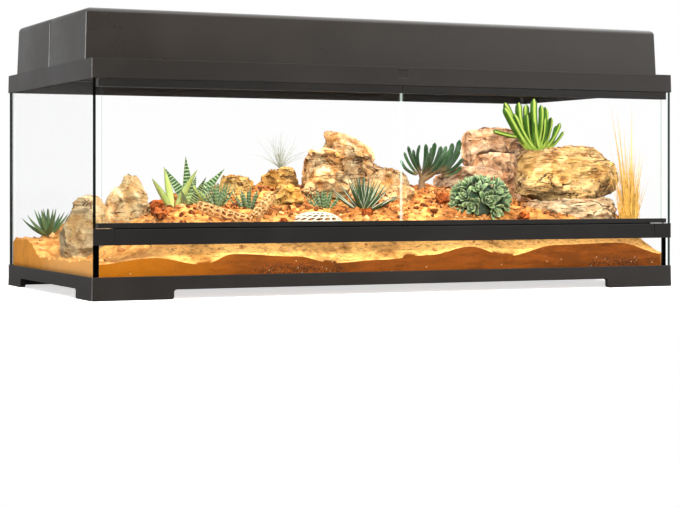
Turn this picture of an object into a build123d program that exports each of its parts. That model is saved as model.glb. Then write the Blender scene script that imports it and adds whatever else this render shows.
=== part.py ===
from build123d import *
import math
import os

# A low, wide glass terrarium for desert reptiles: a moulded base and top frame,
# glued panes, two glass doors hung at the outer corners, a tilting bar under the
# doors, a lift-out screen, two lamp hoods and a planted sand landscape.
# Millimetres. X runs to the right, Y to the rear, Z up; the origin is on the
# floor under the middle of the tank.

# ---------------------------------------------------------------- overall sizes
WIDTH = 900.0
DEPTH = 450.0
TANK_HEIGHT = 317.5
BASE_HEIGHT = 31.0
BAND_HEIGHT = 26.0

# ------------------------------------------------------------- walls and fits
FRAME_WALL = 2.1
FRAME_DRAFT = 1.5
CORNER_RADIUS = 3.0
GLASS = 4.0
BOTTOM_GLASS = 5.0
SEAT_GAP = 0.3
PIN_RADIUS = 1.5
PIN_PLAY = 0.05
BEAD = 4.0

# ------------------------------------------------------------------ base frame
LEDGE_HEIGHT = 13.5
LEDGE_THICKNESS = 2.0
LEDGE_REACH = 24.0
FOOT_WALL = 8.0
FRONT_FOOT = 113.0
SIDE_FOOT = 76.0
SKIRT_CUT = 13.0
SKIRT_RADIUS = 4.0

# ------------------------------------------------------------- top frame, well
FLANGE = 2.5
FRONT_RIM = 44.0
REAR_RIM = 50.0
SIDE_RIM = 24.0
WELL_DEPTH = 6.5
WELL_WALL = 2.0
WELL_LEDGE = 8.0
NOTCH = (18.0, 1.2, 11.0)
NOTCH_BELOW_TOP = 4.5

# --------------------------------------------------------------- cable inlets
INLET_LENGTH = 66.0
INLET_WIDTH = 20.0
INLET_FROM_CENTRE = 283.0
INLET_FROM_REAR = 26.0
COLLAR_DEPTH = 9.0
GATE_LAP = 6.0
GATE_THICKNESS = 2.0
GUIDE_WALL = 1.7
GUIDE_LIP = 1.5
GUIDE_HEIGHT = 4.2

# ---------------------------------------------------------- screen in the well
SCREEN_THICKNESS = 5.6
SCREEN_BORDER = 12.0
NET_THICKNESS = 1.0
NET_LAP = 4.0
NET_WIRE = 1.8
NET_COLUMNS = 9
NET_ROWS = 6

# --------------------------------------------- doors, bar, rail and their caps
FRONT_PANE_SETBACK = 6.9
FRONT_PANE_TOP = 84.0
BAR_BOTTOM = 72.7
BAR_HEIGHT = 21.0
BAR_WALL = 2.2
BAR_LIP_DEPTH = 5.5
BAR_FOOT_DEPTH = 4.4
BAR_BOSS_LENGTH = 8.0
BAR_PIVOT_DEPTH = 3.4
BAR_PIVOT_RISE = 3.9
CAP_WIDTH = 28.6
CAP_RISE = 0.7
BAR_END_GAP = 0.4
SILL_THICKNESS = 1.5
RAIL_DEPTH = 6.1
STOP_RISE = 3.1
VENT_COUNT = 24
VENT_LENGTH = 26.0
DOOR_LIFT = 0.8
DOOR_TOP_GAP = 0.5
DOOR_CENTRE_GAP = 1.4
PROFILE_DEPTH = 10.0
PROFILE_SETBACK = 1.1
PROFILE_SIDE_GAP = 1.0
BOTTOM_PROFILE = 6.6
TOP_PROFILE = 10.5
GLASS_BITE = 4.5
GLASS_FROM_PIVOT = 3.2
PIN_DEPTH = 5.0

# ------------------------------------------------------------------ lamp hoods
HOOD_HEIGHT = 69.5
HOOD_DEPTH = 182.0
HOOD_SIDE_INSET = 2.2
HOOD_SETBACK = 38.4
HOOD_SPACING = 1.0
HOOD_WALL = 2.5
HOOD_DRAFT = 2.0
HOOD_TOP_RADIUS = 7.5
HOOD_CORNER_RADIUS = 2.5
POST_RADIUS = 4.0
REFLECTOR_SHEET = 1.0
REFLECTOR_FLAT = 60.0
REFLECTOR_SPAN = 160.0
REFLECTOR_TOP = 60.0
REFLECTOR_FOOT = 24.0
LAMP_LENGTH = 849.0
LAMP_RADIUS = 8.0
LAMP_CAP_LENGTH = 14.0
LAMP_RISE = 32.0
LAMP_PIN = (5.0, 1.2)
HOLDER = (14.0, 26.0)
BALLAST = (300.0, 22.0, 18.0)
BALLAST_OFFSET = 69.0
ROCKER = (5.0, 18.0, 10.0)
ROCKER_TILT = 7.0
ROCKER_RISE = 34.0
ROCKER_OFFSET = 40.0
HOUSING_WALL = 3.0
HOUSING_DEPTH = 16.0
GROMMET_RADIUS = 5.5
GROMMET_BORE = 3.5
GROMMET_OFFSET = 66.0
GROMMET_STAND = 1.4

# ------------------------------------------------------------------- landscape
# Places in the landscape are drawn for this floor and spread with the tank.
LAYOUT_WIDTH = 900.0
LAYOUT_DEPTH = 450.0
SAND_EDGE = 48.0
SAND_RISE = 72.0
SAND_COLUMNS = 22
SAND_ROWS = 10
FACING = -24.9
ROOT_RADIUS = 7.0
ROOT_DEPTH = 9.0
# Each rooted plant's place and its lift over the sand.
ROOTED = [(-404, 172, 6), (-246, -8, 4), (-217, -64, 4), (-180, -90, 3), (-64, -84, 3),
          (-2, -92, 3), (420, -156, -7)]
CLUSTER_AT = (184, -110)
BUSH_AT = (170, 44, 2)
BUSH_STEM = (9.0, 26.0)
JADE_AT = (327, -66)
JADE_STEM = (9.5, 7.0)
TUFT_AT = (-66, 74)
TUFT_WIDTH = 2.0

# --------------------------------------------------------------- derived sizes
FRONT = -DEPTH / 2
REAR = DEPTH / 2
BAND_BOTTOM = TANK_HEIGHT - BAND_HEIGHT
PANE_OUTER_X = WIDTH / 2 - FRAME_WALL - SEAT_GAP
PANE_INNER_X = PANE_OUTER_X - GLASS
PANE_OUTER_Y = DEPTH / 2 - FRAME_WALL - SEAT_GAP
BACK_PANE_Y = PANE_OUTER_Y - GLASS
FRONT_PANE_Y = FRONT + FRONT_PANE_SETBACK
PANE_BOTTOM = LEDGE_HEIGHT + LEDGE_THICKNESS
PANE_TOP = TANK_HEIGHT - FLANGE - SEAT_GAP
FLOOR_TOP = PANE_BOTTOM + BOTTOM_GLASS
INNER_X = PANE_INNER_X - SEAT_GAP
SILL_TOP = BAR_BOTTOM + BAR_HEIGHT + CAP_RISE
CAP_INNER_X = PANE_OUTER_X - CAP_WIDTH
DOOR_BOTTOM = SILL_TOP + DOOR_LIFT
DOOR_TOP = BAND_BOTTOM - DOOR_TOP_GAP
PIVOT_X = PANE_INNER_X - PROFILE_SIDE_GAP - PROFILE_DEPTH / 2
PIVOT_Y = FRONT + PROFILE_SETBACK + PROFILE_DEPTH / 2
WELL_X = WIDTH / 2 - SIDE_RIM
WELL_FRONT = FRONT + FRONT_RIM
WELL_REAR = REAR - REAR_RIM
WELL_FLOOR = TANK_HEIGHT - WELL_DEPTH
HOOD_BOTTOM = TANK_HEIGHT + SEAT_GAP
HOOD_LENGTH = WIDTH - 2 * HOOD_SIDE_INSET


# --------------------------------------------------------------------- helpers
def block(x, y, z):
    """A box between the low and high value of each axis."""
    centre = Pos((x[0] + x[1]) / 2, (y[0] + y[1]) / 2, (z[0] + z[1]) / 2)
    return centre * Box(x[1] - x[0], y[1] - y[0], z[1] - z[0])


def both_sides(shape):
    """A shape of the left half together with its mirror image on the right."""
    return shape + mirror(shape, about=Plane.YZ)


def upright_pin(x, y, bottom, top, radius):
    """A vertical pin, or the hole for one."""
    return Pos(x, y, (bottom + top) / 2) * Cylinder(radius, top - bottom)


def side_section(points, length):
    """A section in Y and Z, run along X for a length about the middle."""
    face = make_face(Plane.YZ * Polyline(*points, close=True))
    return extrude(face, length / 2, both=True)


def save(name, shape):
    """Write one node's file."""
    export_step(shape, f"parts/{name}.step")


# ------------------------------------------------------------------ base frame
def base_frame():
    """The base tray: a ledge for the glass, a low skirt and four corner feet."""
    tray = extrude(RectangleRounded(WIDTH, DEPTH, CORNER_RADIUS), BASE_HEIGHT, taper=FRAME_DRAFT)
    inner_x = WIDTH / 2 - FRAME_WALL
    inner_y = DEPTH / 2 - FRAME_WALL
    tray -= block((-inner_x, inner_x), (-inner_y, inner_y), (PANE_BOTTOM, BASE_HEIGHT + 1))
    under_x = WIDTH / 2 - FOOT_WALL
    under_y = DEPTH / 2 - FOOT_WALL
    tray -= block((-under_x, under_x), (-under_y, under_y), (-1, LEDGE_HEIGHT))
    open_x = WIDTH / 2 - LEDGE_REACH
    open_y = DEPTH / 2 - LEDGE_REACH
    tray -= block((-open_x, open_x), (-open_y, open_y), (LEDGE_HEIGHT - 1, PANE_BOTTOM + 1))
    span_x = WIDTH / 2 - FRONT_FOOT
    span_y = DEPTH / 2 - SIDE_FOOT
    cut_x = block((-span_x, span_x), (-DEPTH, DEPTH), (-SKIRT_CUT, SKIRT_CUT))
    tray -= fillet(cut_x.edges().filter_by(Axis.Y), SKIRT_RADIUS)
    cut_y = block((-WIDTH, WIDTH), (-span_y, span_y), (-SKIRT_CUT, SKIRT_CUT))
    tray -= fillet(cut_y.edges().filter_by(Axis.X), SKIRT_RADIUS)
    toes = tray.edges().filter_by_position(Axis.Z, -0.1, 0.1)
    toes_x = toes.filter_by(Axis.Y).filter_by_position(Axis.X, -span_x - 0.5, span_x + 0.5)
    toes_y = toes.filter_by(Axis.X).filter_by_position(Axis.Y, -span_y - 0.5, span_y + 0.5)
    tray = fillet(toes_x + toes_y, SKIRT_RADIUS)
    lip = (FRONT + FRAME_WALL, FRONT_PANE_Y - SEAT_GAP)
    return tray + block((-INNER_X, INNER_X), lip, (PANE_BOTTOM, BASE_HEIGHT))


# -------------------------------------------------------------------- glazing
def side_pane(side):
    """A full height pane at the left (side -1) or right (side 1)."""
    x = sorted((side * PANE_INNER_X, side * PANE_OUTER_X))
    return block(x, (-PANE_OUTER_Y, PANE_OUTER_Y), (PANE_BOTTOM, PANE_TOP))


def back_pane():
    """The pane between the side panes at the rear."""
    return block((-INNER_X, INNER_X), (BACK_PANE_Y, PANE_OUTER_Y), (PANE_BOTTOM, PANE_TOP))


def front_pane():
    """The short pane that holds the sand back under the doors."""
    y = (FRONT_PANE_Y, FRONT_PANE_Y + GLASS)
    return block((-INNER_X, INNER_X), y, (PANE_BOTTOM, FRONT_PANE_TOP))


def floor_pane():
    """The pane on the base's ledge."""
    y = (FRONT_PANE_Y + GLASS + SEAT_GAP, BACK_PANE_Y - SEAT_GAP)
    return block((-INNER_X, INNER_X), y, (PANE_BOTTOM, FLOOR_TOP))


def bead(y, toward, top):
    """A three-cornered silicone bead up the left inner corner at y."""
    corner = [(-PANE_INNER_X, y), (-PANE_INNER_X + BEAD, y), (-PANE_INNER_X, y + toward * BEAD)]
    face = make_face(Polyline(*corner, close=True))
    return Pos(0, 0, FLOOR_TOP) * extrude(face, top - FLOOR_TOP)


def silicone_seams():
    """The corner beads, full height at the rear and up to the bar at the front."""
    rear = bead(BACK_PANE_Y, -1, PANE_TOP)
    front = bead(FRONT_PANE_Y + GLASS, 1, BAR_BOTTOM)
    return both_sides(rear + front)


# ------------------------------------------------------------------- top frame
def inlet_centre():
    """Middle of the left cable inlet."""
    return -INLET_FROM_CENTRE, REAR - INLET_FROM_REAR


def inlet_guides():
    """Two rails with lips that hold the left gate down, and its end stops."""
    x, y = inlet_centre()
    gate = INLET_LENGTH + 2 * GATE_LAP
    run = (x - gate / 2 - GUIDE_WALL, x + gate / 2 + INLET_LENGTH + GUIDE_WALL)
    half = INLET_WIDTH / 2 + GUIDE_WALL + GUIDE_LIP
    top = TANK_HEIGHT + GUIDE_HEIGHT
    lip_bottom = TANK_HEIGHT + GATE_THICKNESS + 2 * SEAT_GAP
    guides = block(run, (y - half - GUIDE_WALL, y + half + GUIDE_WALL), (TANK_HEIGHT, top))
    travel = (run[0] + GUIDE_WALL - SEAT_GAP, run[1] - GUIDE_WALL + SEAT_GAP)
    guides -= block(travel, (y - half, y + half), (TANK_HEIGHT, lip_bottom))
    window = half - GUIDE_LIP
    return guides - block(travel, (y - window, y + window), (TANK_HEIGHT, top + 1))


def top_frame():
    """The top moulding: band, flange, screen well, door bearings and inlets."""
    profile = RectangleRounded(WIDTH, DEPTH, CORNER_RADIUS)
    frame = Pos(0, 0, BAND_BOTTOM) * extrude(profile, BAND_HEIGHT, taper=FRAME_DRAFT)
    inner_x = WIDTH / 2 - FRAME_WALL
    inner_y = DEPTH / 2 - FRAME_WALL
    under_flange = TANK_HEIGHT - FLANGE
    frame -= block((-inner_x, inner_x), (-inner_y, inner_y), (BAND_BOTTOM - 1, under_flange))
    well_bottom = WELL_FLOOR - WELL_WALL
    frame += block((-WELL_X - WELL_WALL, WELL_X + WELL_WALL),
                   (WELL_FRONT - WELL_WALL, WELL_REAR + WELL_WALL), (well_bottom, TANK_HEIGHT))
    frame -= block((-WELL_X, WELL_X), (WELL_FRONT, WELL_REAR), (WELL_FLOOR, TANK_HEIGHT + 1))
    hole_x = WELL_X - WELL_LEDGE
    hole_y = (WELL_FRONT + WELL_LEDGE, WELL_REAR - WELL_LEDGE)
    frame -= block((-hole_x, hole_x), hole_y, (well_bottom - 1, WELL_FLOOR + 1))
    bearing = block((-INNER_X, -PIVOT_X + PROFILE_DEPTH), (-inner_y, PIVOT_Y + PROFILE_DEPTH / 2),
                    (BAND_BOTTOM, under_flange))
    bearing -= upright_pin(-PIVOT_X, PIVOT_Y, BAND_BOTTOM - 1,
                           BAND_BOTTOM + PIN_DEPTH + SEAT_GAP, PIN_RADIUS + PIN_PLAY)
    x, y = inlet_centre()
    wall = INLET_LENGTH / 2 + WELL_WALL
    side = INLET_WIDTH / 2 + WELL_WALL
    collar = block((x - wall, x + wall), (y - side, y + side),
                   (TANK_HEIGHT - COLLAR_DEPTH, under_flange))
    frame += both_sides(bearing + collar + inlet_guides())
    inlet = block((x - INLET_LENGTH / 2, x + INLET_LENGTH / 2),
                  (y - INLET_WIDTH / 2, y + INLET_WIDTH / 2),
                  (TANK_HEIGHT - COLLAR_DEPTH - 1, TANK_HEIGHT + 1))
    frame -= both_sides(inlet)
    notch_top = TANK_HEIGHT - NOTCH_BELOW_TOP
    frame -= block((-NOTCH[0] / 2, NOTCH[0] / 2), (FRONT - 1, FRONT + NOTCH[1]),
                   (notch_top - NOTCH[2], notch_top))
    return frame


def inlet_gate():
    """The left sliding gate, with a ridge for the thumb."""
    x, y = inlet_centre()
    length = INLET_LENGTH + 2 * GATE_LAP
    half = INLET_WIDTH / 2 + GUIDE_WALL + GUIDE_LIP - SEAT_GAP
    bottom = TANK_HEIGHT + SEAT_GAP
    top = bottom + GATE_THICKNESS
    plate = block((x - length / 2, x + length / 2), (y - half, y + half), (bottom, top))
    ridge = half - GUIDE_LIP - 2 * GUIDE_WALL
    return plate + block((x - 1.5, x + 1.5), (y - ridge, y + ridge), (top, top + 4))


# ---------------------------------------------------------------------- screen
def screen_windows():
    """Low and high X of the two openings in the screen's frame, and their Y."""
    half_x = WELL_X - SEAT_GAP - SCREEN_BORDER
    y = (WELL_FRONT + SEAT_GAP + SCREEN_BORDER, WELL_REAR - SEAT_GAP - SCREEN_BORDER)
    return [(-half_x, -SCREEN_BORDER / 2), (SCREEN_BORDER / 2, half_x)], y


def screen_frame():
    """The lift-out frame, with a rebate under each opening for its net."""
    bottom = WELL_FLOOR + SEAT_GAP
    top = bottom + SCREEN_THICKNESS
    edge_x = WELL_X - SEAT_GAP
    frame = block((-edge_x, edge_x), (WELL_FRONT + SEAT_GAP, WELL_REAR - SEAT_GAP), (bottom, top))
    windows, y = screen_windows()
    for x in windows:
        frame -= block(x, y, (bottom - 1, top + 1))
        frame -= block((x[0] - NET_LAP, x[1] + NET_LAP), (y[0] - NET_LAP, y[1] + NET_LAP),
                       (bottom - 1, bottom + NET_THICKNESS))
    return frame


def screen_mesh():
    """The two welded steel nets: wires along X, and wires along Y lying on them."""
    windows, y = screen_windows()
    lap = NET_LAP - SEAT_GAP
    bottom = WELL_FLOOR + SEAT_GAP
    layer = NET_THICKNESS / 2
    wires = []
    for x in windows:
        for row in range(NET_ROWS + 1):
            at = y[0] - NET_WIRE + row * (y[1] - y[0] + NET_WIRE) / NET_ROWS
            wires.append(block((x[0] - lap, x[1] + lap), (at, at + NET_WIRE), (bottom, bottom + layer)))
        for column in range(NET_COLUMNS + 1):
            at = x[0] - NET_WIRE + column * (x[1] - x[0] + NET_WIRE) / NET_COLUMNS
            wires.append(block((at, at + NET_WIRE), (y[0] - lap, y[1] + lap),
                               (bottom + layer, bottom + NET_THICKNESS)))
    return Compound(children=wires)


# ------------------------------------------------------ rail, caps and the bar
def front_rail():
    """The sill on the short pane: vents in its web and a stop for the doors."""
    length = 2 * (CAP_INNER_X - SEAT_GAP)
    front = FRONT_PANE_Y
    seat = FRONT_PANE_TOP + SEAT_GAP
    rear = front + RAIL_DEPTH
    leg = front + GLASS + SEAT_GAP
    sill = SILL_TOP - SILL_THICKNESS
    stop = rear - SILL_THICKNESS
    rail = side_section([
        (front, seat), (front + BAR_WALL, seat), (front + BAR_WALL, sill), (leg, sill),
        (leg, BAR_BOTTOM), (rear, BAR_BOTTOM), (rear, SILL_TOP + STOP_RISE),
        (stop, SILL_TOP + STOP_RISE), (stop, SILL_TOP), (front, SILL_TOP)], length)
    vent = (seat + SILL_THICKNESS, sill - SILL_THICKNESS)
    pitch = length / VENT_COUNT
    for place in GridLocations(pitch, 1, VENT_COUNT, 1):
        x = place.position.X
        rail -= block((x - VENT_LENGTH / 2, x + VENT_LENGTH / 2), (front - 1, rear + 1), vent)
    return rail


def end_cap():
    """The left cap: it covers the pane's edge and holds the bar and the door."""
    outer = (-PANE_OUTER_X, -CAP_INNER_X)
    cover = block(outer, (FRONT, -PANE_OUTER_Y - SEAT_GAP), (BAR_BOTTOM, SILL_TOP))
    inner = (-INNER_X, -CAP_INNER_X)
    cap = cover + block(inner, (FRONT, FRONT_PANE_Y - SEAT_GAP), (BAR_BOTTOM, SILL_TOP))
    cap += block(inner, (FRONT, PIVOT_Y + PROFILE_DEPTH / 2), (FRONT_PANE_TOP + SEAT_GAP, SILL_TOP))
    cap -= upright_pin(-PIVOT_X, PIVOT_Y, SILL_TOP - PIN_DEPTH - SEAT_GAP, SILL_TOP + 1,
                       PIN_RADIUS + PIN_PLAY)
    return cap - bar_pin(PIN_RADIUS + PIN_PLAY, PIN_DEPTH + SEAT_GAP)


def bar_pin(radius, reach):
    """The left bar pin, or its hole, reaching past the cap's inner face."""
    x = (-CAP_INNER_X - reach, -CAP_INNER_X + BAR_END_GAP + PIN_DEPTH)
    place = Pos((x[0] + x[1]) / 2, FRONT + BAR_PIVOT_DEPTH, BAR_BOTTOM + BAR_PIVOT_RISE)
    return place * Rot(0, 90, 0) * Cylinder(radius, x[1] - x[0])


def lock_bar():
    """The tilting bar: a channel with a top lip, and a boss at each end."""
    half = CAP_INNER_X - BAR_END_GAP
    top = BAR_BOTTOM + BAR_HEIGHT
    wall = FRONT + BAR_WALL
    bar = side_section([
        (FRONT, BAR_BOTTOM), (FRONT + BAR_FOOT_DEPTH, BAR_BOTTOM),
        (FRONT + BAR_FOOT_DEPTH, BAR_BOTTOM + BAR_WALL), (wall, BAR_BOTTOM + BAR_WALL),
        (wall, top - BAR_WALL), (FRONT + BAR_LIP_DEPTH, top - BAR_WALL),
        (FRONT + BAR_LIP_DEPTH, top), (FRONT, top)], 2 * half)
    bar = fillet(bar.edges().filter_by(Axis.Z).group_by(Axis.Y)[0], BAR_WALL / 2)
    boss_top = BAR_BOTTOM + 2 * BAR_PIVOT_RISE
    boss = block((-half, -half + BAR_BOSS_LENGTH), (FRONT + BAR_WALL / 2, FRONT + BAR_FOOT_DEPTH + 0.6),
                 (BAR_BOTTOM + SEAT_GAP, boss_top))
    boss -= block((-half - 1, -half + BAR_WALL / 2), (FRONT, wall), (BAR_BOTTOM, boss_top + 1))
    bar += both_sides(boss)
    return bar - both_sides(bar_pin(PIN_RADIUS + PIN_PLAY, 0))


def lock_bar_pins():
    """The two steel pins that the bar tilts on."""
    return group(bar_pin(PIN_RADIUS, PIN_DEPTH))


def group(shape):
    """A left piece and its mirror image as two separate solids of one node."""
    return Compound(children=[shape, mirror(shape, about=Plane.YZ)])


# ----------------------------------------------------------------------- doors
def door_profile(bottom, height, slot_bottom, slot_height):
    """A left door's top or bottom strip: round at the pivot, slotted for the glass."""
    end = -DOOR_CENTRE_GAP / 2
    strip = block((-PIVOT_X, end), (PIVOT_Y - PROFILE_DEPTH / 2, PIVOT_Y + PROFILE_DEPTH / 2),
                  (bottom, bottom + height))
    strip += upright_pin(-PIVOT_X, PIVOT_Y, bottom, bottom + height, PROFILE_DEPTH / 2)
    return strip - block((-PIVOT_X + GLASS_FROM_PIVOT, end + 1),
                         (PIVOT_Y - GLASS / 2, PIVOT_Y + GLASS / 2),
                         (slot_bottom, slot_bottom + slot_height))


def door_bottom_profile():
    """The strip under the glass, with the hole for its pin."""
    strip = door_profile(DOOR_BOTTOM, BOTTOM_PROFILE, DOOR_BOTTOM + BOTTOM_PROFILE - GLASS_BITE,
                         GLASS_BITE + 1)
    return strip - upright_pin(-PIVOT_X, PIVOT_Y, DOOR_BOTTOM - 1, DOOR_BOTTOM + PIN_DEPTH,
                               PIN_RADIUS + PIN_PLAY)


def door_top_profile():
    """The strip over the glass, with the hole for its pin."""
    bottom = DOOR_TOP - TOP_PROFILE
    strip = door_profile(bottom, TOP_PROFILE, bottom - 1, GLASS_BITE + 1)
    return strip - upright_pin(-PIVOT_X, PIVOT_Y, DOOR_TOP - PIN_DEPTH, DOOR_TOP + 1,
                               PIN_RADIUS + PIN_PLAY)


def door_glass():
    """The left door's pane, held in both slots."""
    bottom = DOOR_BOTTOM + BOTTOM_PROFILE - GLASS_BITE
    top = DOOR_TOP - TOP_PROFILE + GLASS_BITE
    return block((-PIVOT_X + GLASS_FROM_PIVOT, -DOOR_CENTRE_GAP / 2),
                 (PIVOT_Y - GLASS / 2, PIVOT_Y + GLASS / 2), (bottom, top))


def door_pins():
    """The left door's pins, down into the cap and up into the top frame."""
    lower = upright_pin(-PIVOT_X, PIVOT_Y, SILL_TOP - PIN_DEPTH,
                        DOOR_BOTTOM + PIN_DEPTH - SEAT_GAP, PIN_RADIUS)
    upper = upright_pin(-PIVOT_X, PIVOT_Y, DOOR_TOP - PIN_DEPTH + SEAT_GAP,
                        BAND_BOTTOM + PIN_DEPTH, PIN_RADIUS)
    return Compound(children=[lower, upper])


# ----------------------------------------------------------------------- hoods
def canopy(length, depth, height, top_radius, corner_radius):
    """A drafted block with a rounded top, for the outside or inside of a hood."""
    form = extrude(Rectangle(length, depth), height, taper=HOOD_DRAFT)
    form = fillet(form.edges().group_by(Axis.Z)[-1], top_radius)
    upright = [e for e in form.edges() if e.bounding_box().size.Z > top_radius / 2]
    if corner_radius:
        form = fillet(upright, corner_radius)
    return form


def rocker_place():
    """Middle of the rocker's window in the hood's right end."""
    rise = HOOD_BOTTOM + ROCKER_RISE
    wall = HOOD_LENGTH / 2 - ROCKER_RISE * math.tan(math.radians(HOOD_DRAFT))
    return wall, ROCKER_OFFSET, rise


def hood_shell():
    """A hood's cover, open below, with posts for the reflector and a switch box."""
    shell = canopy(HOOD_LENGTH, HOOD_DEPTH, HOOD_HEIGHT, HOOD_TOP_RADIUS, HOOD_CORNER_RADIUS)
    shell -= canopy(HOOD_LENGTH - 2 * HOOD_WALL, HOOD_DEPTH - 2 * HOOD_WALL,
                    HOOD_HEIGHT - HOOD_WALL, HOOD_TOP_RADIUS - HOOD_WALL, 0)
    ceiling = HOOD_HEIGHT - HOOD_WALL
    for x in (-LAMP_LENGTH / 3, 0, LAMP_LENGTH / 3):
        shell += upright_pin(x, 0, REFLECTOR_TOP, ceiling + 1, POST_RADIUS)
    shell = Pos(0, 0, HOOD_BOTTOM) * shell
    wall, y, z = rocker_place()
    box_y = ROCKER[1] / 2 + HOUSING_WALL
    box_z = ROCKER[2] / 2 + HOUSING_WALL
    shell += block((wall - HOUSING_DEPTH, wall - HOOD_WALL / 2), (y - box_y, y + box_y),
                   (z - box_z, z + box_z))
    hole_y = ROCKER[1] / 2 + SEAT_GAP
    hole_z = ROCKER[2] / 2 + SEAT_GAP
    shell -= block((wall - HOUSING_DEPTH + HOUSING_WALL, wall + HOOD_WALL), (y - hole_y, y + hole_y),
                   (z - hole_z, z + hole_z))
    grommet_hole = Pos(wall, GROMMET_OFFSET, z) * Rot(0, 90, 0) * Cylinder(
        GROMMET_RADIUS, 4 * HOOD_WALL)
    return shell - grommet_hole


def rocker():
    """The switch's key, two flats that meet over its pivot, pressed at one end."""
    wall, y, z = rocker_place()
    depth, length, width = ROCKER
    out = depth * 0.3
    face = Polyline((-depth, -length / 2 + 0.6), (out, -length / 2), (0.2, 0), (out, length / 2),
                    (-depth, length / 2 - 0.6), close=True)
    key = extrude(make_face(face), width / 2, both=True)
    stem = Pos(-depth - 2, 0, 0) * Box(4.2, 4, width - 1)
    return Pos(wall - 1.5, y, z) * Rot(0, 0, ROCKER_TILT) * (key + stem)


def cable_grommet():
    """The ring in the hood's end that a lamp lead would pass through."""
    wall, _, z = rocker_place()
    thick = HOOD_WALL + 2 * GROMMET_STAND
    place = Pos(wall - HOOD_WALL / 2, GROMMET_OFFSET, z) * Rot(0, 90, 0)
    ring = Cylinder(GROMMET_RADIUS - PIN_PLAY, thick)
    flange = Pos(0, 0, -thick / 2 + 0.5) * Cylinder(GROMMET_RADIUS + 1.5, 1)
    return place * (ring + flange - Cylinder(GROMMET_BORE, 2 * thick))


def reflector():
    """The folded bright sheet over the lamp."""
    flat = REFLECTOR_FLAT / 2
    span = REFLECTOR_SPAN / 2
    top = REFLECTOR_TOP - SEAT_GAP
    foot = REFLECTOR_FOOT
    t = REFLECTOR_SHEET
    length = LAMP_LENGTH + 2 * HOLDER[0]
    return side_section([
        (-span, foot), (-flat, top - t), (flat, top - t), (span, foot),
        (span, foot + 1.3 * t), (flat + 0.3 * t, top), (-flat - 0.3 * t, top),
        (-span, foot + 1.3 * t)], length)


def lamp_holder():
    """The left holder: a stem from the reflector with a slot for the lamp's pins."""
    end = -LAMP_LENGTH / 2
    top = REFLECTOR_TOP - SEAT_GAP - REFLECTOR_SHEET
    low = LAMP_RISE - LAMP_RADIUS - 4
    stem = block((end - HOLDER[0], end - SEAT_GAP), (-HOLDER[1] / 2, HOLDER[1] / 2), (low, top))
    slot = LAMP_PIN[1] + SEAT_GAP
    reach = LAMP_RISE + LAMP_PIN[0] + 2 * LAMP_PIN[1]
    return stem - block((end - LAMP_PIN[0] - 1, end), (-slot, slot), (low - 1, reach))


def lamp():
    """A linear lamp: glass tube, metal caps and two pins at each end."""
    body = Rot(0, 90, 0) * Cylinder(LAMP_RADIUS, LAMP_LENGTH - 2 * LAMP_CAP_LENGTH)
    place = -LAMP_LENGTH / 2 + LAMP_CAP_LENGTH / 2
    cap = Pos(place, 0, 0) * Rot(0, 90, 0) * Cylinder(LAMP_RADIUS + 0.4, LAMP_CAP_LENGTH)
    reach, radius = LAMP_PIN
    for rise in (-reach / 2, reach / 2):
        cap += Pos(-LAMP_LENGTH / 2 - reach / 2, 0, rise) * Rot(0, 90, 0) * Cylinder(radius, reach)
    return Pos(0, 0, LAMP_RISE) * (body + both_sides(cap))


def ballast():
    """The lamp's control gear, under the ceiling behind the reflector."""
    top = HOOD_HEIGHT - HOOD_WALL - SEAT_GAP
    return Pos(0, BALLAST_OFFSET, top - BALLAST[2] / 2) * Box(*BALLAST)


def save_hood(name, y):
    """Write one hood's pieces, with the hood's middle at y."""
    place = Pos(0, y, 0)
    seated = Pos(0, y, HOOD_BOTTOM)
    save(f"{name}_shell", place * hood_shell())
    save(f"{name}_rocker", place * rocker())
    save(f"{name}_cable_grommet", place * cable_grommet())
    save(f"{name}_reflector", seated * reflector())
    save(f"{name}_lamp_holders", seated * group(lamp_holder()))
    save(f"{name}_lamp", seated * lamp())
    save(f"{name}_ballast", seated * ballast())


# ------------------------------------------------------------ landscape: sand
def spot(x, y):
    """A drawn place in the landscape, spread to the tank's real floor."""
    return x * WIDTH / LAYOUT_WIDTH, y * DEPTH / LAYOUT_DEPTH


def climb(distance, reach):
    """A bank's share of its full height, from 0 at its foot to 1 at its crest."""
    return math.sin(math.pi / 2 * min(max(distance / reach, 0), 1))


def ground(x, y):
    """Height of the sand over the floor pane, banked up towards the rear."""
    front = climb(y - FRONT_PANE_Y - GLASS, 140)
    left = climb(x + INNER_X, 193)
    right = climb(INNER_X - x, 35)
    waves = 8 * math.cos(x / 24) * (1 - front)
    ridge = 28 * climb(y + 40, 100) * climb(x + 230, 100) * climb(330 - x, 80)
    corner = 22 * climb(y - 70, 60) * climb(-x - 330, 80)
    return SAND_EDGE - FLOOR_TOP + waves + SAND_RISE * front * left * right + ridge + corner


def facet(*points):
    """A flat face through its corner points."""
    return Face(Wire.make_polygon([Vector(*p) for p in points], close=True))


def closed(faces):
    """The solid inside a closed set of faces."""
    return Part() + Solid(Shell(faces))


def faceted(rings):
    """A flat-sided solid through rings of as many corners each."""
    faces = [facet(*rings[0]), facet(*rings[-1])]
    for low, high in zip(rings, rings[1:]):
        for k in range(len(low)):
            after = (k + 1) % len(low)
            faces.append(facet(low[k], low[after], high[after], high[k]))
    return closed(faces)


def ring(radius, corners, height=0.0, inset=1.0):
    """Corners of a level polygon; inset draws in every second one."""
    points = []
    for k in range(corners):
        angle = 2 * math.pi * k / corners
        reach = radius * (inset if k % 2 else 1.0)
        points.append((reach * math.cos(angle), reach * math.sin(angle), height))
    return points


def stack(corners, *levels, inset=1.0):
    """A flat-sided turned form through (height, radius) levels."""
    return faceted([ring(radius, corners, height, inset) for height, radius in levels])


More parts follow.
